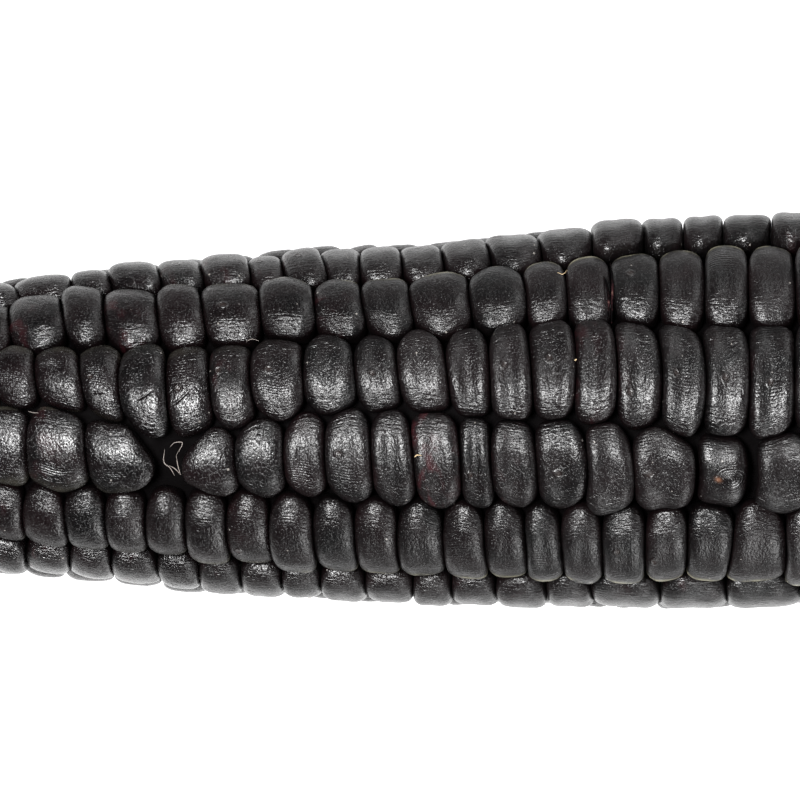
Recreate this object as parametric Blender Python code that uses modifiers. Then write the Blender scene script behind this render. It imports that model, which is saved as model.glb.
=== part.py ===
"""A husked ear of black maize, lying on its side.

The ear runs along X, tip towards -X, and rests on the plane z = 0. Twelve rows of kernels are raised from
one closed skin by a formula, so that kernels and cob are the single body that they grew as. Two woody ends
show the cob's own colour: the bare tip that the last kernels leave free, and the stub of the stalk.

Along the ear, every place is a distance from the tip end of the kernels. Around it, every angle is measured
from straight up towards +Y. Row 0 lies just on the +Y side of the crest, and row numbers rise with the angle.
"""

import math
import random

import bmesh
import bpy
from mathutils import Vector

# The whole ear.
EAR_LENGTH = 0.165
ROW_COUNT = 12
# Height of the kernels' crowns over the ear's axis, at distances from the tip.
CROWN_PROFILE = (
    (0.000, 0.0052),
    (0.006, 0.0098),
    (0.020, 0.0143),
    (0.041, 0.0181),
    (0.075, 0.0205),
    (0.110, 0.0219),
    (0.145, 0.0206),
    (0.159, 0.0186),
    (0.165, 0.0154),
)
# The axis tilts and bows a little, so that the ear lies on its flattest side.
BALANCE_AT = 0.094
AXIS_HEIGHT = 0.02105
AXIS_TILT = 0.040
AXIS_BOW = 0.40
AXIS_LEAN = 0.016

# Kernels: the length of row that each one takes, and how they stand.
TIP_PITCH = 0.0029
MIDDLE_PITCH = 0.0050
BUTT_PITCH = 0.0057
PITCH_VARIATION = 0.10
CROWN_VARIATION = 0.00022
SHOULDER = 0.0010
GROOVE_DEPTH = 0.0018
LINE_DEPTH = 0.0018
PIT_DEPTH = 0.0010
FLANK_DROP = 0.00045
CORNER_DROP = 0.00035
SHRUNKEN_DROP = 0.0012
MISSING_DROP = 0.0030

# Rows: they turn slowly round the ear, less so on one side, wander, and bulge into the pits between kernels.
ROW_TURN = math.radians(-0.95) / 0.010
TURN_FROM = 0.075
FIRST_LINE = math.radians(0.6)
STRAIGHT_SIDE = math.radians(65)
ROW_WANDER = math.radians(1.1)
ROW_BULGE = math.radians(1.0)
SEED = 11
MM = 0.001

# Kernels whose lengths are given, in units of MM: the edge where the first one begins, and each one's length.
GIVEN_KERNELS = {
    0: (34.2, (5.1, 4.8, 5.0, 4.9, 4.8, 5.5, 5.6, 4.9, 5.3, 4.7, 4.6, 4.7, 4.6, 4.9, 4.8, 5.2, 5.4)),
    1: (30.9, (6.1, 4.8, 6.0, 5.0, 6.5, 6.0, 5.6, 5.4, 6.6, 5.6, 4.9, 5.0, 5.4, 5.0, 5.1, 5.2)),
    2: (31.7, (6.2, 4.5, 5.6, 4.8, 5.3, 3.7, 4.6, 4.3, 4.3, 4.6, 5.2, 5.7, 5.6, 5.9, 4.8, 4.6, 5.1)),
    9: (33.0, (4.7, 5.0, 5.1, 4.6, 4.7, 5.0, 4.3, 4.8, 5.2, 4.4, 5.2, 5.2, 5.2, 7.4, 7.7, 8.4)),
    10: (32.8, (4.5, 4.8, 4.5, 4.4, 4.9, 4.8, 4.8, 4.6, 4.9, 4.9, 4.7, 4.3, 4.1, 4.5, 4.9, 4.5, 4.9, 6.0)),
    11: (33.3, (6.6, 7.8, 3.0, 6.2, 5.3, 4.6, 5.0, 4.5, 5.2, 3.9, 4.6, 5.2, 5.5, 6.7, 6.8, 6.8)),
}
# Among those, by row and number, the ones that never grew to full size.
ODD_KERNELS = {(11, 2): "missing", (11, 14): "shrunken"}
# How far some row lines stray from their even run, in degrees, at places in units of MM.
BEND_PLACES = (20, 33, 38, 42, 47, 53, 64, 75, 86, 97, 109, 118, 160)
LINE_BENDS = {
    0: (0, 5.0, 3.4, -1.0, -7.5, -5.2, 1.8, 3.6, 1.2, 0.8, -3.2, -3.4, 0),
    1: (0, 4.4, 3.2, 2.2, 0.8, 0.4, 2.0, 1.2, 1.6, 2.8, 0.2, 0.9, 0),
    2: (0, 9.0, 7.5, 5.5, 2.5, 0.8, -3.0, -2.2, 0.4, 3.6, 7.4, 9.0, 0),
    3: (0, 3.0, 3.0, 2.0, 0, 0, 0, 0, 0, 2.0, 4.0, 4.0, 0),
    10: (0, -1.4, -1.4, -1.4, -2.0, -2.8, -3.2, -4.6, -3.7, -2.3, -2.0, -2.6, 0),
    11: (0, 0.3, 0.6, 0.8, 1.4, 1.6, 2.0, 1.0, 1.4, 1.8, 2.2, 1.6, 0),
}
# Past this point one row stands proud of the others, as a shoulder on the ear's outline.
PROUD_ROW = 2
PROUD_FROM = 0.090
PROUD_RISE = 0.0011

# The skin's lattice: steps along the ear, and strips across each row.
COLUMNS = 112
LEAST_COLUMNS = 3
STRIP_SHARES = (0.0, 0.17, 0.50, 0.83)
STRIPS = len(STRIP_SHARES)
# Crowns this near the plane that the ear lies on are pressed flat on it.
PRESSED_BELOW = 0.00055

# The two woody ends, each seated in a socket with a gap all round.
SEAT_GAP = 0.0003
SEAT_DEPTH = 0.0045
TIP_MOUTH = 0.0012
TIP_SEAT_RADIUS = 0.0034
TIP_NUB_LENGTH = 0.0075
TIP_SCALE_PITCH = 0.0018
TIP_SCALE_HEIGHT = 0.0007
BUTT_MOUTH = EAR_LENGTH - 0.0030
STUB_SEAT_RADIUS = 0.0078
STUB_LENGTH = 0.0090

KERNEL_BLACK = (0.016, 0.013, 0.015, 1.0)
COB_STRAW = (0.30, 0.19, 0.12, 1.0)


def curve_value(points, at):
    """A smooth curve through points (place, value), at any place."""
    last = len(points) - 2
    i = min(max(sum(at >= p[0] for p in points) - 1, 0), last)

    def slope(k):
        low, high = max(k - 1, 0), min(k + 1, last + 1)
        return (points[high][1] - points[low][1]) / (points[high][0] - points[low][0])

    (x0, y0), (x1, y1) = points[i], points[i + 1]
    width = x1 - x0
    t = (at - x0) / width
    return (
        y0 * (1 + 2 * t) * (1 - t) ** 2
        + y1 * t * t * (3 - 2 * t)
        + width * slope(i) * t * (1 - t) ** 2
        - width * slope(i + 1) * t * t * (1 - t)
    )


def blend(low, high, at):
    """0 below low, 1 above high, and a smooth rise between them."""
    t = min(max((at - low) / (high - low), 0.0), 1.0)
    return t * t * (3 - 2 * t)


def kernel_pitch(at):
    """Length of row that a usual kernel takes: short at the tip, longest at the butt."""
    grown = TIP_PITCH + (MIDDLE_PITCH - TIP_PITCH) * (1 - math.exp(-at / 0.012))
    return grown + (BUTT_PITCH - MIDDLE_PITCH) * blend(0.115, EAR_LENGTH, at)


def kernels_up_to(at, step=0.0005):
    """How many usual kernels fit between the tip and this place."""
    steps = max(1, round(at / step))
    return sum(at / steps / kernel_pitch((i + 0.5) * at / steps) for i in range(steps))


def axis_point(at):
    """The ear's axis, with its gentle bow and lean."""
    away = at - BALANCE_AT
    height = AXIS_HEIGHT + AXIS_TILT * away - AXIS_BOW * away * away
    return Vector((at, AXIS_LEAN * away, height))


def row_line(line, at):
    """Angle of the line between row line-1 and row line."""
    side = math.tau * line / ROW_COUNT
    straighter = max(0.0, math.cos(side - STRAIGHT_SIDE)) ** 2
    turned = side + FIRST_LINE + ROW_TURN * (1 - straighter) * (at - TURN_FROM)
    phase = line % ROW_COUNT
    if phase in LINE_BENDS:
        place = min(max(at / MM, BEND_PLACES[0]), BEND_PLACES[-1])
        turned += math.radians(curve_value(list(zip(BEND_PLACES, LINE_BENDS[phase])), place))
    waves = 0.6 * math.sin(at / 0.0210 + 2.4 * phase) + 0.36 * math.sin(at / 0.0094 + 4.1 * phase)
    return turned + ROW_WANDER * waves


def uneven_run(start, end, chance):
    """The edges of the kernels, of uneven length, that fill a stretch of row."""
    count = round(kernels_up_to(end) - kernels_up_to(start))
    lengths = [kernel_pitch(start + (end - start) * (k + 0.5) / count) for k in range(count)]
    lengths = [length * (1 + chance.gauss(0, PITCH_VARIATION)) for length in lengths]
    scale = (end - start) / sum(lengths)
    edges = [start]
    for length in lengths:
        edges.append(edges[-1] + length * scale)
    return edges


def row_kernels(row):
    """[(tipward edge, buttward edge, state, rise)] of the row's kernels, from the tip to the butt."""
    chance = random.Random(SEED * 100 + row)
    if row in GIVEN_KERNELS:
        first, lengths = GIVEN_KERNELS[row]
        given = [(first + sum(lengths[:k])) * MM for k in range(len(lengths) + 1)]
        edges = uneven_run(0.0, given[0], chance)[:-1] + given + uneven_run(given[-1], EAR_LENGTH, chance)[1:]
        odd_from = edges.index(given[0])
    else:
        edges, odd_from = uneven_run(0.0, EAR_LENGTH, chance), 0
    kernels = []
    for k, (start, end) in enumerate(zip(edges, edges[1:])):
        state = ODD_KERNELS.get((row, k - odd_from), "full")
        kernels.append((start, end, state, chance.gauss(0, CROWN_VARIATION)))
    return kernels


def edge_columns(kernels):
    """The lattice column of each kernel's edge, at least LEAST_COLUMNS apart."""
    per_kernel = COLUMNS / kernels_up_to(EAR_LENGTH)
    columns = [0]
    for _, end, _, _ in kernels:
        columns.append(max(columns[-1] + LEAST_COLUMNS, round(per_kernel * kernels_up_to(end))))
    columns[-1] = COLUMNS
    for k in range(len(columns) - 2, 0, -1):
        columns[k] = min(columns[k], columns[k + 1] - LEAST_COLUMNS)
    return columns


def row_steps(row):
    """For each lattice column: its place, is it a groove, is it a kernel's shoulder, and its kernel."""
    kernels = row_kernels(row)
    columns = edge_columns(kernels)
    steps = []
    for kernel, low, high in zip(kernels, columns, columns[1:]):
        start, end = kernel[0], kernel[1]
        steps.append((start, True, False, kernel))
        inner = high - low - 1
        shoulder = min(SHOULDER / (end - start), 0.27)
        for i in range(inner):
            share = shoulder + (1 - 2 * shoulder) * i / (inner - 1)
            steps.append((start + share * (end - start), False, i in (0, inner - 1), kernel))
    steps.append((EAR_LENGTH, True, False, kernels[-1]))
    return steps


def skin_point(at, angle, depth):
    """A point at some depth under the crowns, square to the outline, and pressed flat where the ear lies."""
    reach = curve_value(CROWN_PROFILE, at)
    slope = (curve_value(CROWN_PROFILE, at + 1e-4) - curve_value(CROWN_PROFILE, at - 1e-4)) / 2e-4
    steepness = math.hypot(1, slope)
    radius = reach - depth / steepness
    along = depth * slope / steepness
    centre = axis_point(at)
    point = centre + Vector((along, radius * math.sin(angle), radius * math.cos(angle)))
    if point.z < PRESSED_BELOW:
        point.z = 0.0
    return point


def kernel_size(at):
    """Size of the kernels here, against those in the middle of the ear."""
    return min(1.0, kernel_pitch(at) / MIDDLE_PITCH) * min(1.0, 0.45 + curve_value(CROWN_PROFILE, at) / 0.030)


def kernel_drop(row, at, kernel):
    """How far this kernel's crown lies under the ear's outline."""
    _, _, state, rise = kernel
    drop = {"full": 0.0, "shrunken": SHRUNKEN_DROP, "missing": MISSING_DROP}[state] - rise
    if row == PROUD_ROW:
        drop -= PROUD_RISE * blend(PROUD_FROM, PROUD_FROM + 0.008, at)
    return drop


def raised_point(rows, column, band):
    """Where the lattice's crossing of column and band lies on the raised skin."""
    row, strip = divmod(band % (ROW_COUNT * STRIPS), STRIPS)
    place, groove, shoulder, kernel = rows[row][column]
    if strip:
        share = STRIP_SHARES[strip]
        low, high = row_line(row, place), row_line(row + 1, place)
        drop = kernel_drop(row, place, kernel)
        flank = strip != 2
        if groove:
            drop = max(drop, 0.0) + GROOVE_DEPTH + flank * FLANK_DROP
        else:
            drop += flank * FLANK_DROP + (flank and shoulder) * CORNER_DROP
        return skin_point(place, low + share * (high - low), drop * kernel_size(place))
    below = rows[row - 1][column]
    place = (place + below[0]) / 2
    bulge = ROW_BULGE * (groove - below[1])
    depth = LINE_DEPTH + PIT_DEPTH * (groove + below[1]) / 2
    return skin_point(place, row_line(row, place) + bulge, depth * kernel_size(place))


def seat_point(at, radius, band, bands):
    """A point of a socket's ring, round the ear's axis."""
    angle = math.tau * band / bands + row_line(0, at)
    return axis_point(at) + Vector((0, radius * math.sin(angle), radius * math.cos(angle)))


def wrapped_sheet(name, steps, bands, place):
    """A closed body: a grid whose crossings go to place(step, band), sewn along and capped at both ends."""
    sheet = bmesh.new()
    bmesh.ops.create_grid(sheet, x_segments=steps, y_segments=bands, size=1.0)
    for vert in sheet.verts:
        step = round((vert.co.x + 1) / 2 * steps)
        band = round((vert.co.y + 1) / 2 * bands)
        vert.co = place(step, band % bands)
    bmesh.ops.remove_doubles(sheet, verts=sheet.verts, dist=1e-7)
    bmesh.ops.holes_fill(sheet, edges=sheet.edges)
    bmesh.ops.triangulate(sheet, faces=sheet.faces, quad_method="SHORT_EDGE")
    bmesh.ops.recalc_face_normals(sheet, faces=sheet.faces)
    mesh = bpy.data.meshes.new(name)
    sheet.to_mesh(mesh)
    sheet.free()
    return bpy.data.objects.new(name, mesh)


def make_kernels():
    """All the kernels and the cob that they sit on, as one body with a socket at each end."""
    rows = [row_steps(row) for row in range(ROW_COUNT)]
    bands = ROW_COUNT * STRIPS
    tip_rings = ((TIP_MOUTH + SEAT_DEPTH, TIP_SEAT_RADIUS), (TIP_MOUTH, TIP_SEAT_RADIUS))
    butt_rings = ((BUTT_MOUTH, STUB_SEAT_RADIUS), (BUTT_MOUTH - SEAT_DEPTH, STUB_SEAT_RADIUS))

    def place(step, band):
        if step < len(tip_rings):
            at, radius = tip_rings[step]
            return seat_point(at, radius + SEAT_GAP, band, bands)
        column = step - len(tip_rings)
        if column > COLUMNS:
            at, radius = butt_rings[column - COLUMNS - 1]
            return seat_point(at, radius + SEAT_GAP, band, bands)
        return raised_point(rows, column, band)

    return wrapped_sheet("kernels", COLUMNS + len(tip_rings) + len(butt_rings), bands, place)


def make_bare_tip():
    """The cob's bare end, with rings of kernels that never grew raised on it."""
    steps, bands, scales_round = 20, 24, 8
    seat_end = TIP_MOUTH + SEAT_DEPTH - SEAT_GAP

    def place(step, band):
        at = seat_end - (seat_end + TIP_NUB_LENGTH) * step / steps
        taper = math.sqrt(1 - 0.93 * blend(0.0, TIP_NUB_LENGTH, -at) ** 1.5)
        ring = -at / TIP_SCALE_PITCH
        round_ear = band / bands * scales_round + 0.5 * math.floor(ring)
        scale = abs(math.sin(math.pi * ring) * math.sin(math.pi * round_ear)) if at < 0 else 0.0
        return seat_point(at, TIP_SEAT_RADIUS * taper + TIP_SCALE_HEIGHT * scale, band, bands)

    return wrapped_sheet("cob_tip", steps, bands, place)


def make_stub():
    """The stalk's stub: a turned profile with the ridges that the husk leaves left, and a dished break."""
    seat = SEAT_DEPTH - SEAT_GAP
    profile = (
        (0.0000, -seat),
        (STUB_SEAT_RADIUS, -seat),
        (STUB_SEAT_RADIUS, 0.0000),
        (0.0072, 0.0034),
        (0.0079, 0.0042),
        (0.0068, 0.0055),
        (0.0065, 0.0078),
        (0.0070, 0.0086),
        (0.0062, 0.0098),
        (0.0059, 0.0030 + STUB_LENGTH),
        (0.0050, 0.0026 + STUB_LENGTH),
        (0.0000, 0.0017 + STUB_LENGTH),
    )
    outline = bpy.data.meshes.new("stub_outline")
    points = [(radius, 0.0, height) for radius, height in profile]
    outline.from_pydata(points, [(i, i + 1) for i in range(len(points) - 1)], [])
    stub = bpy.data.objects.new("stalk_stub", outline)
    turn = stub.modifiers.new("turn", "SCREW")
    turn.steps = turn.render_steps = 28
    turn.use_merge_vertices = True
    turn.merge_threshold = 0.00005
    turn.use_normal_flip = True
    stub.location = axis_point(BUTT_MOUTH)
    stub.rotation_euler = (0, math.pi / 2, 0)
    return stub


def finish_material(name, colour, roughness):
    """A plain surface of one colour."""
    material = bpy.data.materials.new(name)
    material.use_nodes = True
    surface = material.node_tree.nodes["Principled BSDF"]
    surface.inputs["Base Color"].default_value = colour
    surface.inputs["Roughness"].default_value = roughness
    surface.inputs["Metallic"].default_value = 0.0
    return material


def centre_on_origin(parent, parts):
    """Moves the parts by their parent so that the origin lies under the middle of the whole ear."""
    bpy.context.view_layer.update()
    graph = bpy.context.evaluated_depsgraph_get()
    corners = []
    for part in parts:
        shown = part.evaluated_get(graph)
        corners += [shown.matrix_world @ vert.co for vert in shown.data.vertices]
    for axis in range(2):
        values = [corner[axis] for corner in corners]
        parent.location[axis] = -(min(values) + max(values)) / 2


def main():
    for old in list(bpy.data.objects):
        bpy.data.objects.remove(old)
    collection = bpy.data.collections.new("corn_cob")
    bpy.context.scene.collection.children.link(collection)
    ear = bpy.data.objects.new("ear_frame", None)
    collection.objects.link(ear)
    black = finish_material("kernel_black", KERNEL_BLACK, 0.42)
    straw = finish_material("cob_straw", COB_STRAW, 0.85)
    parts = [(make_kernels(), black), (make_bare_tip(), straw), (make_stub(), straw)]
    for part, material in parts:
        part.data.materials.append(material)
        collection.objects.link(part)
        part.parent = ear
    centre_on_origin(ear, [part for part, _ in parts])


main()
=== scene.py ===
# %% [markdown]
# # An ear of black maize
# A dry ear of maize lies on its side. What one sees of it are its kernels: twelve rows of them, each
# kernel a small leathery pillow that grew until its neighbours stopped it. So the lesson is about
# packing: how to give some four hundred kernels a cell each, how to fill every cell with the same small
# cage, and how to make the black skin show its form, which it does by its gloss alone.

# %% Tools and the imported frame
import math
import random
from types import SimpleNamespace

import bmesh
import bpy
from mathutils import Matrix, Vector
from mathutils.noise import noise as value_noise


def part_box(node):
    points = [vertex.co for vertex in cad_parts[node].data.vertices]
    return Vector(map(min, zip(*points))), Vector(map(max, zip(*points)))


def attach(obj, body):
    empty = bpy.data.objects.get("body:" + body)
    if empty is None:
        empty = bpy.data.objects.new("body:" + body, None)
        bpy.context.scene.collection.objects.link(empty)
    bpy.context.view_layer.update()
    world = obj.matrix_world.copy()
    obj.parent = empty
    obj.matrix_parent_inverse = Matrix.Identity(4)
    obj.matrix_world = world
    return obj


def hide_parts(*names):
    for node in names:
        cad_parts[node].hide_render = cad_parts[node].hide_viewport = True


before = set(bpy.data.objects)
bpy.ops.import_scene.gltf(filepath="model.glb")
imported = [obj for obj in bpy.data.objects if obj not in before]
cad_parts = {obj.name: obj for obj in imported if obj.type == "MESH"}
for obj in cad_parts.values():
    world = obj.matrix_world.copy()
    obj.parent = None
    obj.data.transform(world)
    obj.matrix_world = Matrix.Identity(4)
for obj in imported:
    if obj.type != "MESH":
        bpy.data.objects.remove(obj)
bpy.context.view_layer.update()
print("packed nodes:", len(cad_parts))

# %% [markdown]
# ## Where everything is
# Places along the ear are distances from the tip end of its kernels, and angles are measured from
# straight up towards +Y, as in the construction. The stub of the stalk says where that system lies in the
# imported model: its far face is at a known distance from the tip, and its middle is on the ear's axis.

# %% The ear's axis and outline
EAR_LENGTH = 0.165
ROW_COUNT = 12
STUB_END = 0.174
BUTT_MOUTH = 0.162
BALANCE_AT = 0.094
AXIS_HEIGHT = 0.02105
AXIS_TILT = 0.040
AXIS_BOW = 0.40
AXIS_LEAN = 0.016
CROWN_PROFILE = (
    (0.000, 0.0052),
    (0.006, 0.0098),
    (0.020, 0.0143),
    (0.041, 0.0181),
    (0.075, 0.0205),
    (0.110, 0.0219),
    (0.145, 0.0206),
    (0.159, 0.0186),
    (0.165, 0.0154),
)

stub_low, stub_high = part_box("stalk_stub")
TIP_X = stub_high[0] - STUB_END
AXIS_Y = (stub_low[1] + stub_high[1]) / 2 - AXIS_LEAN * (BUTT_MOUTH - BALANCE_AT)


def blend(low, high, at):
    """0 below low, 1 above high, and a smooth rise between them."""
    t = min(max((at - low) / (high - low), 0.0), 1.0)
    return t * t * (3 - 2 * t)


def curve_value(points, at):
    """A smooth curve through points (place, value), at any place."""
    last = len(points) - 2
    i = min(max(sum(at >= p[0] for p in points) - 1, 0), last)

    def slope(k):
        low, high = max(k - 1, 0), min(k + 1, last + 1)
        return (points[high][1] - points[low][1]) / (points[high][0] - points[low][0])

    (x0, y0), (x1, y1) = points[i], points[i + 1]
    width = x1 - x0
    t = (at - x0) / width
    return (
        y0 * (1 + 2 * t) * (1 - t) ** 2
        + y1 * t * t * (3 - 2 * t)
        + width * slope(i) * t * (1 - t) ** 2
        - width * slope(i + 1) * t * t * (1 - t)
    )


def axis_point(at):
    """The ear's axis in the model's own coordinates."""
    away = at - BALANCE_AT
    height = AXIS_HEIGHT + AXIS_TILT * away - AXIS_BOW * away * away
    return Vector((TIP_X + at, AXIS_Y + AXIS_LEAN * away, height))


def round_ear(at, angle, radius):
    """The point at some place along the ear, angle round it and distance from its axis."""
    return axis_point(at) + Vector((0, radius * math.sin(angle), radius * math.cos(angle)))


print("the kernels begin at x", round(1000 * TIP_X, 2), "mm, with the axis at y", round(1000 * AXIS_Y, 2))

# %% [markdown]
# ## Node trees as sums
# The kernels and their skin are both formulas, and a formula reads best as one. This small class wraps a
# socket of a node tree, so that adding or multiplying two of them adds the math node that does it.

# %% A socket that adds and multiplies


def join(tree, value, socket):
    """Feeds a number, a vector or another node's output to a socket."""
    if isinstance(value, Value):
        tree.links.new(value.socket, socket)
    else:
        socket.default_value = value


class Value:
    """An output socket that adds and multiplies like a number."""

    def __init__(self, tree, socket):
        self.tree = tree
        self.socket = socket

    def math(self, operation, *others):
        node = self.tree.nodes.new("ShaderNodeMath")
        node.operation = operation
        for value, socket in zip((self, *others), node.inputs):
            join(self.tree, value, socket)
        return Value(self.tree, node.outputs[0])

    def __add__(self, other):
        return self.math("ADD", other)

    def __sub__(self, other):
        return self.math("SUBTRACT", other)

    def __rsub__(self, other):
        return self.math("MULTIPLY_ADD", -1.0, other)

    def __mul__(self, other):
        return self.math("MULTIPLY", other)

    def __truediv__(self, other):
        return self.math("DIVIDE", other)

    def __rtruediv__(self, other):
        return self.math("POWER", -1.0) * other

    def __pow__(self, other):
        return self.math("POWER", other)

    __radd__ = __add__
    __rmul__ = __mul__

    def hill(self, middle, width):
        """A bell of height 1 round a middle."""
        away = (self - middle) / width
        return (away * away * -1.0).math("EXPONENT")

    def rise(self, low, high):
        """0 below low, 1 above high, smooth between them; high may be the lower one."""
        node = self.tree.nodes.new("ShaderNodeMapRange")
        node.interpolation_type = "SMOOTHSTEP"
        join(self.tree, self, node.inputs["Value"])
        node.inputs["From Min"].default_value = low
        node.inputs["From Max"].default_value = high
        return Value(self.tree, node.outputs["Result"])

    def parts(self):
        """The three components of a vector."""
        node = self.tree.nodes.new("ShaderNodeSeparateXYZ")
        join(self.tree, self, node.inputs[0])
        return [Value(self.tree, socket) for socket in node.outputs]


# %% Nodes, inputs and attributes


def vector(tree, x, y, z):
    """A vector of three values."""
    node = tree.nodes.new("ShaderNodeCombineXYZ")
    for value, socket in zip((x, y, z), node.inputs):
        join(tree, value, socket)
    return Value(tree, node.outputs[0])


def output_of(tree, kind, inputs, output=0, **settings):
    """A new node with its settings and inputs, by its output."""
    node = tree.nodes.new(kind)
    for name, value in settings.items():
        setattr(node, name, value)
    for name, value in inputs.items():
        join(tree, value, node.inputs[name])
    return Value(tree, node.outputs[output])


def stored(tree, name):
    """A vector that was stored on the geometry under a name."""
    return output_of(tree, "GeometryNodeInputNamedAttribute", {"Name": name}, data_type="FLOAT_VECTOR")


def tree_input(tree, name, kind, default=None):
    """A named input of a tree."""
    socket = tree.interface.new_socket(name, in_out="INPUT", socket_type=kind)
    if default is not None:
        socket.default_value = default


def empty_tree(name, inputs):
    """A Geometry Nodes tree with its named inputs, (kind, default) each, and those inputs as values."""
    tree = bpy.data.node_groups.new(name, "GeometryNodeTree")
    tree_input(tree, "Geometry", "NodeSocketGeometry")
    for label, (kind, default) in inputs.items():
        tree_input(tree, label, kind, default)
    tree.interface.new_socket("Geometry", in_out="OUTPUT", socket_type="NodeSocketGeometry")
    given = tree.nodes.new("NodeGroupInput")
    return tree, {socket.name: Value(tree, socket) for socket in given.outputs if socket.name}


def finish_tree(tree, geometry, material):
    """Ends a tree: the geometry gets its material and goes out."""
    painted = output_of(tree, "GeometryNodeSetMaterial", {"Geometry": geometry, "Material": material})
    result = tree.nodes.new("NodeGroupOutput")
    join(tree, painted, result.inputs[0])


# %% From a tree to a plain mesh


def new_object(name, mesh):
    """A mesh as an object in the scene."""
    thing = bpy.data.objects.new(name, mesh)
    bpy.context.scene.collection.objects.link(thing)
    return thing


def set_input(modifier, name, value):
    """Sets a Geometry Nodes input by its socket's identifier."""
    for item in modifier.node_group.interface.items_tree:
        if item.name == name and item.in_out == "INPUT":
            modifier[item.identifier] = value


def store_vector(mesh, name, values):
    """Stores one vector for each vertex."""
    layer = mesh.attributes.new(name, "FLOAT_VECTOR", "POINT")
    layer.data.foreach_set("vector", [number for value in values for number in value])


def made_plain(thing, keep=()):
    """Turns a modifier's result into a plain mesh that keeps only the named attributes."""
    graph = bpy.context.evaluated_depsgraph_get()
    mesh = bpy.data.meshes.new_from_object(thing.evaluated_get(graph))
    thing.modifiers.clear()
    thing.data = mesh
    mesh.name = thing.name
    vectors = [layer.name for layer in mesh.attributes if layer.data_type == "FLOAT_VECTOR"]
    for name in vectors:
        if name not in (*keep, "position"):
            mesh.attributes.remove(mesh.attributes[name])
    return thing


# %% [markdown]
# ## Camera, light and floor
# The view is straight down on the crest, through a long lens, and takes in the middle 90 mm of the ear.
# Black, half glossy skin hardly shows by its colour: it shows by what it mirrors. So a small soft box
# above, towards the tip, puts one highlight on every crown. Two low ones in front and behind catch the
# flanks, and a weak one comes from the butt. The floor is white to the camera alone, so it shows no
# shadow. What the skin mirrors of it is a glow close round the ear, or the whole flank would go grey.

# %% Camera
VIEW_MIDDLE = 0.075
VIEW_WIDTH = 0.0901
VIEW_ABOVE_AXIS = 0.0025
CAMERA_HEIGHT = 2.0
SENSOR_WIDTH = 36.0

camera = new_object("camera", bpy.data.cameras.new("camera"))
camera.location = axis_point(VIEW_MIDDLE) + Vector((0, VIEW_ABOVE_AXIS, CAMERA_HEIGHT))
camera.data.sensor_width = SENSOR_WIDTH
camera.data.lens = camera.data.sensor_width * CAMERA_HEIGHT / VIEW_WIDTH
camera.data.clip_start = 0.01
bpy.context.scene.camera = camera
bpy.context.scene.view_settings.view_transform = "Standard"
print("lens", round(camera.data.lens), "mm")

# %% Soft boxes
# Each one's place from the axis in the middle of the view, its width, its depth and its power in watts.
SOFT_BOXES = {
    "key": ((-0.22, 0.02, 0.75), 0.32, 0.17, 14.8),
    "front": ((0.25, -0.77, 0.20), 0.30, 0.55, 4.9),
    "back": ((0.25, 0.72, 0.34), 0.36, 0.60, 2.4),
    "rim": ((0.80, 0.0, 0.30), 0.50, 0.50, 2.0),
}
ROOM_COLOUR = (0.9, 0.93, 1.0, 1)
ROOM_STRENGTH = 0.06


def soft_box(name, away, width, depth, power):
    """A soft box, so wide and so deep, that points at the ear from some way off."""
    light = bpy.data.lights.new(name, "AREA")
    light.shape = "RECTANGLE"
    light.size = width
    light.size_y = depth
    light.energy = power
    lamp = new_object(name, light)
    lamp.location = axis_point(VIEW_MIDDLE) + Vector(away)
    lamp.rotation_euler = (-Vector(away)).to_track_quat("-Z", "Y").to_euler()
    lamp.visible_camera = False


for name, measures in SOFT_BOXES.items():
    soft_box(name, *measures)

world = bpy.data.worlds.new("room")
bpy.context.scene.world = world
world.use_nodes = True
world.node_tree.nodes["Background"].inputs["Color"].default_value = ROOM_COLOUR
world.node_tree.nodes["Background"].inputs["Strength"].default_value = ROOM_STRENGTH
print("soft boxes:", *SOFT_BOXES)

# %% The floor
FLOOR_SIZE = 4.0
FLOOR_BELOW = 0.0001
FLOOR_GREY = (0.12, 0.12, 0.12, 1)
FLOOR_ROUGHNESS = 0.9
FLOOR_GLOW = 1.9
GLOW_FADES = 0.025
GLOW_ENDS = 0.080
GLOW_NARROWS = 0.10
GLOW_BEHIND = 0.7
GLOW_TURNS = 0.02


def floor_material():
    """White to the camera; what the kernels mirror of it is only a glow close round the ear."""
    material = bpy.data.materials.new("floor_white")
    material.use_nodes = True
    tree = material.node_tree
    x, y, _ = Value(tree, tree.nodes.new("ShaderNodeTexCoord").outputs["Object"]).parts()
    away = (x * x * GLOW_NARROWS + y * y).math("SQRT")
    seen = Value(tree, tree.nodes.new("ShaderNodeLightPath").outputs["Is Camera Ray"])
    near_side = y.rise(GLOW_TURNS, -GLOW_TURNS) * (1 - GLOW_BEHIND) + GLOW_BEHIND
    glow = seen.math("MAXIMUM", away.rise(GLOW_ENDS, GLOW_FADES) * near_side * FLOOR_GLOW)
    surface = tree.nodes["Principled BSDF"]
    surface.inputs["Base Color"].default_value = FLOOR_GREY
    surface.inputs["Roughness"].default_value = FLOOR_ROUGHNESS
    surface.inputs["Emission Strength"].default_value = 1.0
    join(tree, vector(tree, glow, glow, glow), surface.inputs["Emission Color"])
    return material


floor_mesh = bmesh.new()
bmesh.ops.create_grid(floor_mesh, x_segments=1, y_segments=1, size=FLOOR_SIZE / 2)
floor = new_object("floor", bpy.data.meshes.new("floor"))
floor_mesh.to_mesh(floor.data)
floor_mesh.free()
floor.location.z = -FLOOR_BELOW
floor.data.materials.append(floor_material())
print("the floor is", FLOOR_SIZE, "m wide")

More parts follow.
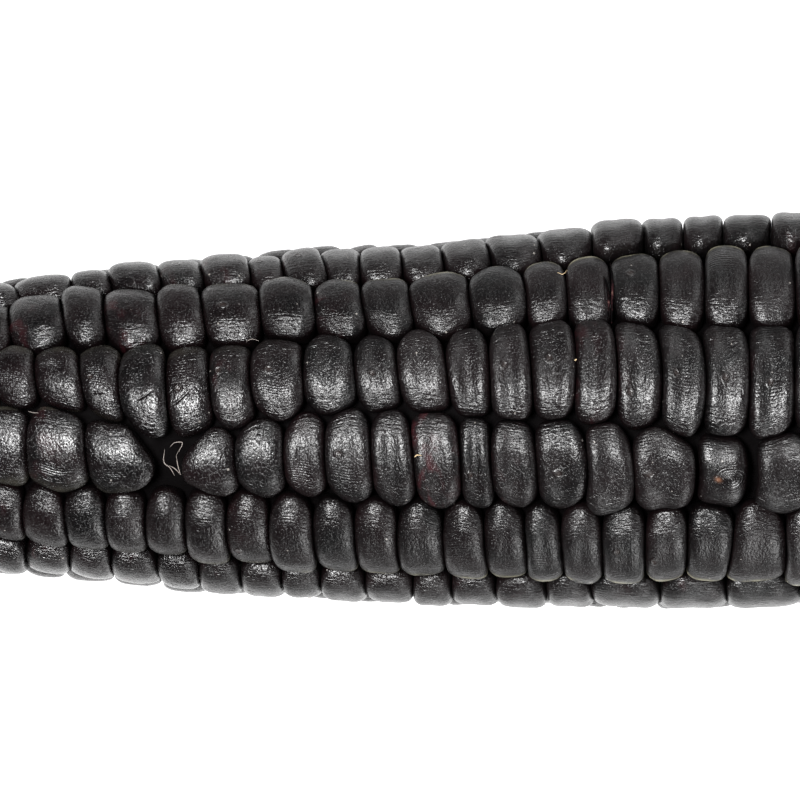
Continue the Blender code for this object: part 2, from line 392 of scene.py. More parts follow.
# %% [markdown]
# ## A cell for every kernel
# Kernels grow in rows and press on each other. Within a row they stand like coins in a roll, so a row is
# a list of uneven lengths. Between two rows the border isn't straight: wherever two kernels of one row
# meet, their rounded ends leave a notch, and the kernel across the border grows into it. Both rows read
# the same border, so no two kernels ever overlap.
#
# Six rows have their kernels' lengths given, since an ear is never as even as a rule would make it. The
# other six, on the side it lies on, draw theirs at random, from a fixed seed.

# %% Lengths of the kernels in each row
TIP_PITCH = 0.0029
MIDDLE_PITCH = 0.0050
BUTT_PITCH = 0.0057
PITCH_GROWS_OVER = 0.012
BUTT_FROM = 0.115
PITCH_VARIATION = 0.10
CROWN_VARIATION = 0.00022
ROW_TURN = math.radians(-0.95) / 0.010
TURN_FROM = 0.075
FIRST_LINE = math.radians(0.6)
STRAIGHT_SIDE = math.radians(65)
# How far every row line wanders, and its two waves: share of the wander, length and shift from row to row.
ROW_WANDER = math.radians(1.1)
ROW_WAVES = ((0.6, 0.0210, 2.4), (0.36, 0.0094, 4.1))
SEED = 11
MM = 0.001
# Kernels whose lengths are given, in units of MM: where the first one begins, and the length of each.
GIVEN_KERNELS = {
    0: (34.2, (5.1, 4.8, 5.0, 4.9, 4.8, 5.5, 5.6, 4.9, 5.3, 4.7, 4.6, 4.7, 4.6, 4.9, 4.8, 5.2, 5.4)),
    1: (30.9, (6.1, 4.8, 6.0, 5.0, 6.5, 6.0, 5.6, 5.4, 6.6, 5.6, 4.9, 5.0, 5.4, 5.0, 5.1, 5.2)),
    2: (31.7, (6.2, 4.5, 5.6, 4.8, 5.3, 3.7, 4.6, 4.3, 4.3, 4.6, 5.2, 5.7, 5.6, 5.9, 4.8, 4.6, 5.1)),
    9: (33.0, (4.7, 5.0, 5.1, 4.6, 4.7, 5.0, 4.3, 4.8, 5.2, 4.4, 5.2, 5.2, 5.2, 7.4, 7.7, 8.4)),
    10: (32.8, (4.5, 4.8, 4.5, 4.4, 4.9, 4.8, 4.8, 4.6, 4.9, 4.9, 4.7, 4.3, 4.1, 4.5, 4.9, 4.5, 4.9, 6.0)),
    11: (33.3, (6.6, 7.8, 3.0, 6.2, 5.3, 4.6, 5.0, 4.5, 5.2, 3.9, 4.6, 5.2, 5.5, 6.7, 6.8, 6.8)),
}
# Among those, by row and number, the ones that never grew to full size.
ODD_KERNELS = {(11, 2): "missing", (11, 14): "shrunken"}
# How far some row lines stray from their even run, in degrees, at places in units of MM.
BEND_PLACES = (20, 33, 38, 42, 47, 53, 64, 75, 86, 97, 109, 118, 160)
LINE_BENDS = {
    0: (0, 5.0, 3.4, -1.0, -7.5, -5.2, 1.8, 3.6, 1.2, 0.8, -3.2, -3.4, 0),
    1: (0, 4.4, 3.2, 2.2, 0.8, 0.4, 2.0, 1.2, 1.6, 2.8, 0.2, 0.9, 0),
    2: (0, 9.0, 7.5, 5.5, 2.5, 0.8, -3.0, -2.2, 0.4, 3.6, 7.4, 9.0, 0),
    3: (0, 3.0, 3.0, 2.0, 0, 0, 0, 0, 0, 2.0, 4.0, 4.0, 0),
    10: (0, -1.4, -1.4, -1.4, -2.0, -2.8, -3.2, -4.6, -3.7, -2.3, -2.0, -2.6, 0),
    11: (0, 0.3, 0.6, 0.8, 1.4, 1.6, 2.0, 1.0, 1.4, 1.8, 2.2, 1.6, 0),
}


def kernel_pitch(at):
    """Length of row that a usual kernel takes: short at the tip, longest at the butt."""
    grown = TIP_PITCH + (MIDDLE_PITCH - TIP_PITCH) * (1 - math.exp(-at / PITCH_GROWS_OVER))
    return grown + (BUTT_PITCH - MIDDLE_PITCH) * blend(BUTT_FROM, EAR_LENGTH, at)


def kernels_up_to(at, step=0.0005):
    """How many usual kernels fit between the tip and this place."""
    steps = max(1, round(at / step))
    return sum(at / steps / kernel_pitch((i + 0.5) * at / steps) for i in range(steps))


def row_line(line, at):
    """Angle of the line between row line-1 and row line."""
    side = math.tau * line / ROW_COUNT
    straighter = max(0.0, math.cos(side - STRAIGHT_SIDE)) ** 2
    turned = side + FIRST_LINE + ROW_TURN * (1 - straighter) * (at - TURN_FROM)
    phase = line % ROW_COUNT
    if phase in LINE_BENDS:
        place = min(max(at / MM, BEND_PLACES[0]), BEND_PLACES[-1])
        turned += math.radians(curve_value(list(zip(BEND_PLACES, LINE_BENDS[phase])), place))
    waves = [share * math.sin(at / length + shift * phase) for share, length, shift in ROW_WAVES]
    return turned + ROW_WANDER * sum(waves)


def uneven_run(start, end, chance):
    """The edges of the kernels, of uneven length, that fill a stretch of row."""
    count = round(kernels_up_to(end) - kernels_up_to(start))
    lengths = [kernel_pitch(start + (end - start) * (k + 0.5) / count) for k in range(count)]
    lengths = [length * (1 + chance.gauss(0, PITCH_VARIATION)) for length in lengths]
    scale = (end - start) / sum(lengths)
    edges = [start]
    for length in lengths:
        edges.append(edges[-1] + length * scale)
    return edges


def row_kernels(row):
    """[(tipward edge, buttward edge, state, rise, number)] of a row's kernels, tip to butt."""
    chance = random.Random(SEED * 100 + row)
    if row in GIVEN_KERNELS:
        first, lengths = GIVEN_KERNELS[row]
        given = [(first + sum(lengths[:k])) * MM for k in range(len(lengths) + 1)]
        edges = uneven_run(0.0, given[0], chance)[:-1] + given
        edges += uneven_run(given[-1], EAR_LENGTH, chance)[1:]
        odd_from = edges.index(given[0])
    else:
        edges, odd_from = uneven_run(0.0, EAR_LENGTH, chance), 0
    kernels = []
    for k, (start, end) in enumerate(zip(edges, edges[1:])):
        number = k - odd_from
        state = ODD_KERNELS.get((row, number), "full")
        kernels.append((start, end, state, chance.gauss(0, CROWN_VARIATION), number))
    return kernels


ROWS = [row_kernels(row) for row in range(ROW_COUNT)]
print(sum(len(row) for row in ROWS), "kernels in", ROW_COUNT, "rows")

# %% Borders between the kernels of a row
EDGE_LEAN = 0.00035
EDGE_BOW = 0.00045
EDGE_CHANCE = 0.00016
CREST_ROWS = (0, ROW_COUNT - 1)
SIDE_BOW = 0.45
BOW_BIAS = 0.9
LEAN_ENDS_OVER = (0.085, 0.110)
BOW_TURNS_OVER = (0.060, 0.105)


def row_edges(row):
    """[(place, lean, bow)] of the borders between the row's kernels."""
    chance = random.Random(SEED * 300 + row)
    places = [kernel[0] for kernel in ROWS[row]] + [EAR_LENGTH]
    strength = 1.0 if row in CREST_ROWS else SIDE_BOW
    edges = []
    for place in places:
        size = kernel_pitch(place) / MIDDLE_PITCH
        lean = -EDGE_LEAN * (1 - blend(*LEAN_ENDS_OVER, place)) + chance.gauss(0, EDGE_CHANCE)
        bow = EDGE_BOW * strength * (2 * blend(*BOW_TURNS_OVER, place) - BOW_BIAS)
        bow += chance.gauss(0, EDGE_CHANCE)
        edges.append((place, lean * size, bow * size))
    return edges


EDGES = [row_edges(row) for row in range(ROW_COUNT)]


def notches_near(row, side, place):
    """The three nearest places where two kernels of a row meet on one side of it."""
    meets = sorted((edge[0] + side * edge[1] for edge in EDGES[row]), key=lambda at: abs(at - place))
    return meets[:3]


print("borders between kernels:", sum(len(edges) for edges in EDGES))

# %% [markdown]
# ## What sets one kernel off from the next
# A few numbers make each kernel its own: how plump and how polished it is, the dent on its crown, the
# scar that its silk left, and a band of wrinkles where it dried first. Most are drawn at random. The ones
# that catch the eye are given by row and number instead: three wrinkled bands, three pressed creases, a
# bite and one shrunken kernel. All of them ride on the kernel's point as attributes, so that the tree
# and the skin can read them.

# %% Each kernel's cell, as numbers on a point
PROUD_ROW = 2
PROUD_RISE = 0.0011
SHRUNKEN_DROP = 0.0012
GAP = 0.00003
DENT = 0.00034
SCARRED_SHARE = 0.25
SIDE_FLATNESS = 0.35
# Where along the ear something changes: from a place to a place.
PROUD_OVER = (0.090, 0.098)
PLUMP_OVER = (0.068, 0.098)
POLISH_ENDS_OVER = (0.045, 0.075)
DENTS_OVER = (0.050, 0.080)
BANDS_END_OVER = (0.045, 0.070)
ARCH_STARTS_OVER = (0.060, 0.068)
ARCH_ENDS_OVER = (0.084, 0.094)
# Kernels with a band of wrinkles of their own, by row and number: how far up, how broad, how strong.
BANDED_KERNELS = {(11, 0): (-0.42, 0.17, 1.0), (11, 1): (-0.36, 0.16, 0.6), (0, 1): (0.15, 0.30, 0.6)}
# Kernels that something pressed a crease into: where on the kernel, and how it leans.
CREASED_KERNELS = {(0, 1): (-0.25, -0.42, 0.12), (0, 2): (0.1, -0.22, 0.35), (0, 3): (-0.35, -0.22, 0.3)}
NO_CREASE = (0.0, 0.0, -9.0)
# The kernel that something bit, where the black skin has gone red, and the shrunken one's scar.
BITTEN_KERNEL = (11, 8)
SHRUNKEN_SCAR = (0.34, -0.06, 0.0)


def kernel_band(row, number, middle, chance):
    """Where a kernel's wrinkles gather, and how strong they are; towards the tip more have them."""
    share = 0.12 + 0.40 * (1 - blend(*BANDS_END_OVER, middle))
    place, breadth = chance.uniform(-0.5, 0.5), chance.uniform(0.15, 0.30)
    strength = chance.uniform(0.4, 0.9) * (chance.random() < share)
    return BANDED_KERNELS.get((row, number), (place, breadth, strength))


def kernel_arch(row, middle, chance):
    """How far the corner towards the tip and away from the crest is rounded off; at 0 it is not."""
    first_row = 0.9 * blend(*ARCH_STARTS_OVER, middle) * (1 - blend(*ARCH_ENDS_OVER, middle))
    return {0: first_row, 1: 1.0}.get(row, 0.3) * chance.uniform(0.6, 1.2)


def outline_at(place, step=0.0008):
    """The ear's outline at a place: its reach, its slope and how it bends."""
    before, here, after = [curve_value(CROWN_PROFILE, place + i * step) for i in (-1, 0, 1)]
    return here, (after - before) / (2 * step), (after - 2 * here + before) / step**2


def kernel_cell(row, k, chance):
    """Everything that sets one kernel apart, by the name it is stored under."""
    start, end, state, rise, number = ROWS[row][k]
    middle = (start + end) / 2
    red = chance.random()
    tipward, buttward = EDGES[row][k], EDGES[row][k + 1]
    neighbours = [ROWS[row][i][2] if 0 <= i < len(ROWS[row]) else "missing" for i in (k - 1, k + 1)]
    noses = [1.0 * (neighbour == "missing") for neighbour in neighbours]
    size = min(1.0, kernel_pitch(middle) / MIDDLE_PITCH)
    if row == PROUD_ROW:
        rise += PROUD_RISE * blend(*PROUD_OVER, middle)
    small = state == "shrunken"
    rise -= SHRUNKEN_DROP * small
    flat_top = 1.0 if row in CREST_ROWS else SIDE_FLATNESS
    plump = chance.uniform(0.0, 0.5) + flat_top * blend(*PLUMP_OVER, middle) - 0.4 * max(noses)
    polish = 0.30 * chance.random() + 0.45 * (1 - blend(*POLISH_ENDS_OVER, middle))
    dent = DENT * (1 + chance.random()) * (0.2 + 0.8 * blend(*DENTS_OVER, middle)) * flat_top
    scar = (chance.uniform(-0.6, -0.1), chance.gauss(0.0, 0.15), 1.0 * (chance.random() < SCARRED_SHARE))
    return {
        "along": (start, end, kernel_pitch(middle)),
        "reach": outline_at(middle),
        "tip_edge": (tipward[1], tipward[2], noses[0]),
        "butt_edge": (buttward[1], buttward[2], noses[1]),
        "low_line": (row_line(row, start), row_line(row, end), kernel_arch(row, middle, chance)),
        "high_line": (row_line(row + 1, start), row_line(row + 1, end), 0.0),
        "low_notches": notches_near(row - 1, 1, middle),
        "high_notches": notches_near((row + 1) % ROW_COUNT, -1, middle),
        "form": (rise, dent * size * (1 - small), size),
        "tilt": (chance.gauss(0, 0.00010) * size, chance.gauss(0, 0.00014) * size, plump),
        "inset": (GAP + 0.00035 * small, GAP + 0.0010 * small + 0.0004 * noses[1], GAP + 0.0001 * small),
        "skin": (
            chance.random(),
            1.0 if (row, number) == BITTEN_KERNEL else 0.5 * red**6,
            1.0 if small else polish,
        ),
        "band": kernel_band(row, number, middle, chance),
        "scar": SHRUNKEN_SCAR if small else scar,
        "crease": CREASED_KERNELS.get((row, number), NO_CREASE),
    }


def row_cells(row):
    """The cells of the row's kernels, from the tip to the butt."""
    chance = random.Random(SEED * 500 + row)
    cells = [kernel_cell(row, k, chance) for k in range(len(ROWS[row]))]
    return [cell for cell, kernel in zip(cells, ROWS[row]) if kernel[2] != "missing"]


CELLS = [row_cells(row) for row in range(ROW_COUNT)]
print("cells to fill:", sum(len(cells) for cells in CELLS), "with", len(CELLS[0][0]), "attributes each")

# %% [markdown]
# ## One kernel as a cage
# A kernel is a pillow on a wedge that reaches down to the cob. The cage is a grid of four by five faces,
# with its border drawn out downwards into walls and closed below. It lives in a unit space: x from -1 to
# 1 along the ear, y from -1 to 1 round it, z from 0 at the root to 1 at the crown.

# %% The cage
CAGE_FACES = (4, 5)
CAGE_SPREAD = (0.60, 0.34)
CAGE_SHOULDER = 0.955
# The rings of the walls: how high each is, and its size.
CAGE_WALLS = ((0.76, 1.012), (0.0, 0.95))


def kernel_cage():
    """The few dozen faces that every kernel is made from."""
    cage = bmesh.new()
    bmesh.ops.create_grid(cage, x_segments=CAGE_FACES[0], y_segments=CAGE_FACES[1], size=1.0)
    for vert in cage.verts:
        inside = max(abs(vert.co.x), abs(vert.co.y)) < 0.99
        for axis in (0, 1):
            vert.co[axis] *= 1 + CAGE_SPREAD[axis] * (1 - vert.co[axis] ** 2)
        vert.co.z = 1.0 if inside else CAGE_SHOULDER
    rim = [edge for edge in cage.edges if edge.is_boundary]
    for height, size in CAGE_WALLS:
        drawn = bmesh.ops.extrude_edge_only(cage, edges=rim)["geom"]
        rim = [part for part in drawn if isinstance(part, bmesh.types.BMEdge)]
        for vert in {vert for edge in rim for vert in edge.verts}:
            vert.co = (vert.co.x * size, vert.co.y * size, height)
    bmesh.ops.holes_fill(cage, edges=rim)
    bmesh.ops.recalc_face_normals(cage, faces=cage.faces)
    thing = new_object("kernel_cage", bpy.data.meshes.new("kernel_cage"))
    cage.to_mesh(thing.data)
    cage.free()
    thing.hide_render = True
    return thing


cage = kernel_cage()
print("the cage has", len(cage.data.polygons), "faces")

# %% [markdown]
# ## The tree that fills the cells
# The tree rounds the cage once, sets a copy on every point and then bends each copy into its cell: x
# becomes a place along the ear, y an angle between the row's two borders, z a depth under the ear's
# outline. Because the bending is a formula on smooth coordinates, the sides stay straight where kernels
# press on each other, and a hair's breadth of gap is the same all along them.

# %% From unit space into the cell
WALL_DEPTH = 0.0042
NOTCH_DEPTH = math.radians(1.5)
NOTCH_SHARE = 0.32
NOSE_TRIM = 0.66
NOSE_BOW = 0.0002
# How much the corners, an arched corner and the ends lose of a kernel's length or width.
CORNER_TRIM = 0.05
ARCH_TRIM = 0.34
END_TRIM = 0.24
# How far the crown drops at its ends and its sides, and how wide the dent on it is.
END_DROP = 0.0012
SIDE_DROP = 0.00040
DENT_MIDDLE = -0.04
DENT_LENGTH = 0.46
DENT_WIDTH = 0.80
PRESSED_BELOW = 0.00055
PRESS_FADES_AT = 0.0030


def border(side, line, notches, own, at, share, pitch):
    """Angle of a border at a place: out into the other row's notches, in at the row's own ones."""
    straight = line[0] + (line[1] - line[0]) * share
    first, *others = [at.hill(notch, pitch * NOTCH_SHARE) for notch in notches]
    out = sum(others, first)
    back = at.hill(own[0], pitch * NOTCH_SHARE) + at.hill(own[1], pitch * NOTCH_SHARE)
    return straight + (out - back) * NOTCH_DEPTH * side


def along_and_round(tree, x, y):
    """Where a point of unit space comes to lie: its place along the ear and its angle round it."""
    start, end, pitch = stored(tree, "along").parts()
    reach = stored(tree, "reach").parts()[0]
    tip_lean, tip_bow, tip_nose = stored(tree, "tip_edge").parts()
    butt_lean, butt_bow, butt_nose = stored(tree, "butt_edge").parts()
    low_line = stored(tree, "low_line").parts()
    high_line = stored(tree, "high_line").parts()
    low_notches = stored(tree, "low_notches").parts()
    high_notches = stored(tree, "high_notches").parts()
    tip_inset, butt_inset, side_inset = stored(tree, "inset").parts()

    # Along: between the two edges, which lean and bow. An end beside a hole rounds off.
    from_middle = y.math("ABSOLUTE")
    nosed = tip_nose * x.rise(0.02, -0.02) + butt_nose * x.rise(-0.02, 0.02)
    kept = (1.0 - from_middle**7.0 * END_TRIM) * (1.0 - from_middle**2.5 * nosed * NOSE_TRIM)
    arch = x.rise(0.15, -0.15) * y.math("MAXIMUM", 0.0) ** 3.0 * low_line[2]
    share = x * kept * (1.0 - arch * ARCH_TRIM) * 0.5 + 0.5
    lean = (tip_lean + (butt_lean - tip_lean) * share) * (1.0 - nosed)
    bow = tip_bow + (butt_bow - tip_bow) * share
    bow = bow * (1.0 - nosed) + (butt_nose - tip_nose) * NOSE_BOW * nosed
    first, last = start + tip_inset, end - butt_inset
    at = first + (last - first) * share + lean * y + bow * (1.0 - y * y)

    # Round: between the two borders.
    low_own = (start - tip_lean, end - butt_lean)
    high_own = (start + tip_lean, end + butt_lean)
    low = border(-1.0, low_line, low_notches, low_own, at, share, pitch)
    high = border(1.0, high_line, high_notches, high_own, at, share, pitch)
    gap = side_inset / reach
    trimmed = y * (1.0 - x.math("ABSOLUTE") ** 4.0 * CORNER_TRIM) * 0.5 + 0.5
    return at, (low + gap) + (high - low - gap * 2.0) * trimmed


def depth_below(tree, x, y, z, wall_depth):
    """How deep under the ear's outline: down the walls, at the crown's ends and sides, and in its dent."""
    rise, dent, size = stored(tree, "form").parts()
    tilt_along, tilt_round, plump = stored(tree, "tilt").parts()
    ends = y.math("ABSOLUTE") ** (plump + 2.1) * END_DROP
    sides = x.math("ABSOLUTE") ** (plump * 2.4 + 2.0) * SIDE_DROP
    hollow = x.hill(DENT_MIDDLE, DENT_LENGTH) * y.hill(0.0, DENT_WIDTH) * dent
    crown = (ends + sides) * size + hollow - tilt_along * x - tilt_round * y - rise * size
    return (1.0 - z) * wall_depth * size + crown * z.rise(0.0, 0.6)


def in_the_model(tree, at, angle, depth):
    """Back to the model's own coordinates, square to the outline, and pressed flat on the floor."""
    start, end, _ = stored(tree, "along").parts()
    reach, slope, bend = stored(tree, "reach").parts()
    away = at - (start + end) * 0.5
    outline = reach + slope * away + bend * away * away * 0.5
    steep = slope + bend * away
    steepness = (steep * steep + 1.0).math("SQRT")
    radius = outline - depth / steepness
    along = at + depth * steep / steepness
    from_balance = at - BALANCE_AT
    axis_height = from_balance * AXIS_TILT - from_balance * from_balance * AXIS_BOW + AXIS_HEIGHT
    height = axis_height + radius * angle.math("COSINE")
    pressed = height - height.rise(PRESS_FADES_AT, 0.0) * PRESSED_BELOW
    sideways = from_balance * AXIS_LEAN + AXIS_Y + radius * angle.math("SINE")
    return vector(tree, along + TIP_X, sideways, pressed.math("MAXIMUM", 0.0))


# %% [markdown]
# ## No two kernels alike
# A grown skin is never as smooth as a formula. Noise in two sizes moves the crowns out and in: broad
# lumps for the form, and fine wrinkles that the gloss shows up. The kernels that touch the floor stay
# flat there.

# %% Kernel tree
LEVELS = 2
LUMP_SIZE = 0.0030
LUMP_HEIGHT = 0.00030
WRINKLE_SIZE = 0.00075
WRINKLE_HEIGHT = 0.00005
FLOOR_CLEAR = 0.0015


def seeded_noise(tree, place, seed, size, detail):
    """Noise from 0 to 1 in lumps of a size, which another seed makes another pattern."""
    inputs = {"Vector": place, "W": seed, "Scale": 1 / size, "Detail": detail}
    return output_of(tree, "ShaderNodeTexNoise", inputs, noise_dimensions="4D")


def lumpy(tree, kernels, seed, z):
    """The kernels with lumps and wrinkles, on the crown alone and not where the ear touches the floor."""
    size = stored(tree, "form").parts()[2]
    place = output_of(tree, "GeometryNodeInputPosition", {})
    lumps = (seeded_noise(tree, place, seed, LUMP_SIZE, 1.0) - 0.5) * LUMP_HEIGHT
    wrinkles = (seeded_noise(tree, place, seed, WRINKLE_SIZE, 2.0) - 0.5) * WRINKLE_HEIGHT
    floor_clear = place.parts()[2].rise(0.0, FLOOR_CLEAR)
    height = (lumps + wrinkles) * z.rise(0.55, 1.0) * floor_clear * size
    normal = output_of(tree, "GeometryNodeInputNormal", {})
    offset = output_of(tree, "ShaderNodeVectorMath", {0: normal, "Scale": height}, operation="SCALE")
    return output_of(tree, "GeometryNodeSetPosition", {"Geometry": kernels, "Offset": offset})


def kernel_tree():
    """The Geometry Nodes tree that turns a row's points into its kernels."""
    tree, inputs = empty_tree(
        "kernels_in_cells",
        {
            "Cage": ("NodeSocketObject", None),
            "Skin": ("NodeSocketMaterial", None),
            "Levels": ("NodeSocketInt", LEVELS),
            "Wall depth": ("NodeSocketFloat", WALL_DEPTH),
            "Seed": ("NodeSocketFloat", 0.0),
        },
    )
    # Round the cage, remember its unit coordinates, and set a copy on every point.
    unit_cage = output_of(tree, "GeometryNodeObjectInfo", {"Object": inputs["Cage"]}, "Geometry")
    to_round = {"Mesh": unit_cage, "Level": inputs["Levels"]}
    rounded = output_of(tree, "GeometryNodeSubdivisionSurface", to_round)
    marked = output_of(
        tree,
        "GeometryNodeStoreNamedAttribute",
        {"Geometry": rounded, "Name": "unit", "Value": output_of(tree, "GeometryNodeInputPosition", {})},
        data_type="FLOAT_VECTOR",
        domain="POINT",
    )
    placed = {"Points": inputs["Geometry"], "Instance": marked}
    copies = output_of(tree, "GeometryNodeInstanceOnPoints", placed)
    kernels = output_of(tree, "GeometryNodeRealizeInstances", {"Geometry": copies})

    # Bend every copy into its cell, and make its skin uneven.
    x, y, z = stored(tree, "unit").parts()
    at, angle = along_and_round(tree, x, y)
    point = in_the_model(tree, at, angle, depth_below(tree, x, y, z, inputs["Wall depth"]))
    bent = output_of(tree, "GeometryNodeSetPosition", {"Geometry": kernels, "Position": point})
    uneven = lumpy(tree, bent, inputs["Seed"], z)
    finish_tree(tree, output_of(tree, "GeometryNodeSetShadeSmooth", {"Geometry": uneven}), inputs["Skin"])
    return tree


kernels_in_cells = kernel_tree()
print("the kernel tree has", len(kernels_in_cells.nodes), "nodes")

# %% [markdown]
# ## Finishes that share their parts
# Three effects come back on several surfaces, so each is a shader node group: dust that sits in specks,
# the fine ridges of dry plant fibre, and a mottle that keeps any colour from being flat. Each puts out a
# mask or a height, and the material decides what to do with it.

# %% What materials are made of


def shader_group(name, inputs, outputs):
    """An empty shader node group with its sockets, and its inputs as values."""
    tree = bpy.data.node_groups.new(name, "ShaderNodeTree")
    for label, default in inputs.items():
        kind = "NodeSocketVector" if default is None else "NodeSocketFloat"
        tree_input(tree, label, kind, default)
    for label in outputs:
        tree.interface.new_socket(label, in_out="OUTPUT", socket_type="NodeSocketFloat")
    given = tree.nodes.new("NodeGroupInput")
    return tree, {socket.name: Value(tree, socket) for socket in given.outputs if socket.name}


def put_out(tree, **values):
    """Feeds a group's outputs."""
    result = tree.nodes.new("NodeGroupOutput")
    for name, value in values.items():
        join(tree, value, result.inputs[name.replace("_", " ")])


def group_in(tree, group, output, **inputs):
    """Places a group in a material and gives one of its outputs."""
    node = tree.nodes.new("ShaderNodeGroup")
    node.node_tree = group
    for name, value in inputs.items():
        join(tree, value, node.inputs[name])
    return Value(tree, node.outputs[output])


def noise(tree, place, scale, detail=2.0, roughness=0.5):
    """Smooth noise from 0 to 1."""
    inputs = {"Vector": place, "Scale": scale, "Detail": detail, "Roughness": roughness}
    return output_of(tree, "ShaderNodeTexNoise", inputs, "Fac")


def stretched(tree, place, x, y, z):
    """A place with each direction scaled on its own."""
    inputs = {"Vector": place, "Scale": (x, y, z)}
    return output_of(tree, "ShaderNodeMapping", inputs)


def mixed(tree, share, first, second):
    """A colour between two others."""
    node = tree.nodes.new("ShaderNodeMix")
    node.data_type = "RGBA"
    join(tree, share, node.inputs["Factor"])
    sockets = [socket for socket in node.inputs if socket.type == "RGBA"]
    for socket, colour in zip(sockets, (first, second)):
        join(tree, colour, socket)
    return Value(tree, next(socket for socket in node.outputs if socket.type == "RGBA"))


# %% Shader groups


def dust_group():
    """Specks: a few cells of a fine division of space hold one each, of uneven size."""
    tree, given = shader_group("dust", {"Place": None, "Spacing": 0.0011, "Amount": 0.5}, ["Specks"])
    cells = tree.nodes.new("ShaderNodeTexVoronoi")
    join(tree, given["Place"], cells.inputs["Vector"])
    join(tree, 1.0 / given["Spacing"], cells.inputs["Scale"])
    away = Value(tree, cells.outputs["Distance"])
    chance, other, _ = Value(tree, cells.outputs["Color"]).parts()
    size = other * other * 0.10 + 0.03
    held = (given["Amount"] - chance).math("GREATER_THAN", 0.0)
    put_out(tree, Specks=(size - away).math("GREATER_THAN", 0.0) * held)
    return tree


def fibre_group():
    """Fine ridges along X, broken along their length, as dry stalk and papery husk have them."""
    tree, given = shader_group("fibre", {"Place": None, "Width": 0.00025, "Length": 0.004}, ["Height"])
    x, y, z = given["Place"].parts()
    fine = vector(tree, x / given["Length"], y / given["Width"], z / given["Width"])
    coarse = vector(tree, x / given["Length"], y / given["Width"] * 0.31, z / given["Width"] * 0.31)
    put_out(tree, Height=noise(tree, fine, 1.0, 3.0) * 0.6 + noise(tree, coarse, 1.0) * 0.4)
    return tree


def mottle_group():
    """Soft patches in two sizes, from 0 to 1."""
    tree, given = shader_group("mottle", {"Place": None, "Size": 0.003}, ["Patches"])
    broad = noise(tree, given["Place"], 1.0 / given["Size"])
    fine = noise(tree, given["Place"], 5.0 / given["Size"])
    put_out(tree, Patches=(broad * 0.7 + fine * 0.3).rise(0.30, 0.70))
    return tree


dust = dust_group()
fibre = fibre_group()
mottle = mottle_group()
print("groups:", dust.name, fibre.name, mottle.name)

# %% [markdown]
# ## The kernels' skin
# Black maize is really a very dark purple. The skin is a thin dry film over a glassy kernel: matt enough
# to blur what it mirrors, with leathery wrinkles that break the highlight up. On the crown they run
# across the row, and on a kernel's ends they turn and run along it. So the pattern reads the kernel's own
# unit coordinates, which the tree stored, and each kernel shifts it by its own chance. Heights are in
# metres, so that the Bump node, with its Distance at 1, gives relief of the real size.

# %% What the skin's pattern reads
HALF_LENGTH = 2.5
HALF_WIDTH = 5.2
TINT_SHIFT = 40.0
ACROSS_STRETCH = (3.6, 1.6, 1.0)
ALONG_STRETCH = (0.7, 4.4, 1.0)
GRAIN_SIZE = 0.00021


def attribute(tree, name):
    """A vector that the mesh carries, in a material."""
    node = tree.nodes.new("ShaderNodeAttribute")
    node.attribute_name = name
    return Value(tree, node.outputs["Vector"])


def object_place(tree):
    """Where on the object the shaded point is, in metres."""
    return Value(tree, tree.nodes.new("ShaderNodeTexCoord").outputs["Object"])


def skin_values(tree):
    """Everything that both the relief and the colour of the skin read."""
    on = SimpleNamespace(place=object_place(tree))
    on.x, on.y, on.z = attribute(tree, "unit").parts()
    on.tint, on.red, on.polish = attribute(tree, "skin").parts()
    on.pattern = vector(tree, on.x * HALF_LENGTH, on.y * HALF_WIDTH, on.tint * TINT_SHIFT)
    on.across = noise(tree, stretched(tree, on.pattern, *ACROSS_STRETCH), 1.0, 2.0, 0.6)
    on.along = noise(tree, stretched(tree, on.pattern, *ALONG_STRETCH), 1.0, 2.0, 0.6)
    on.grain = noise(tree, on.place, 1 / GRAIN_SIZE, 1.5, 0.65)
    on.ends = on.y.math("ABSOLUTE").rise(0.25, 0.70)
    on.glossy = on.polish.rise(0.8, 1.0)
    scar_x, scar_y, on.scarred = attribute(tree, "scar").parts()
    aside, ahead = (on.x - scar_x) * HALF_LENGTH, (on.y - scar_y) * HALF_WIDTH
    on.from_scar = (aside * aside + ahead * ahead).math("SQRT")
    return on


# %% [markdown]
# ## Relief of the skin
# Five things lie over each other: the wrinkles, a pebbly grain in two strengths, fine pleats where the
# kernel has a band of them, a crease where something pressed on it, and a small ring round the silk's
# scar. The shrunken kernel dried differently. Its skin is tight and glossy, with rings round its scar.

# %% Relief
ACROSS_HEIGHT = 0.000080
ALONG_HEIGHT = 0.000190
GRAIN_HEIGHT = 0.000036
PEBBLE_HEIGHT = 0.000028
GLOSSY_SMOOTHS = 0.45
PLEATS = math.tau * HALF_WIDTH / 0.30
PLEAT_HEIGHT = 0.000026
CREASE_DEPTH = 0.00010
SCAR_RADIUS = 0.38
SCAR_RING_HEIGHT = 0.00009
DRIED_RINGS = 18.0
DRIED_RING_HEIGHT = 0.000035


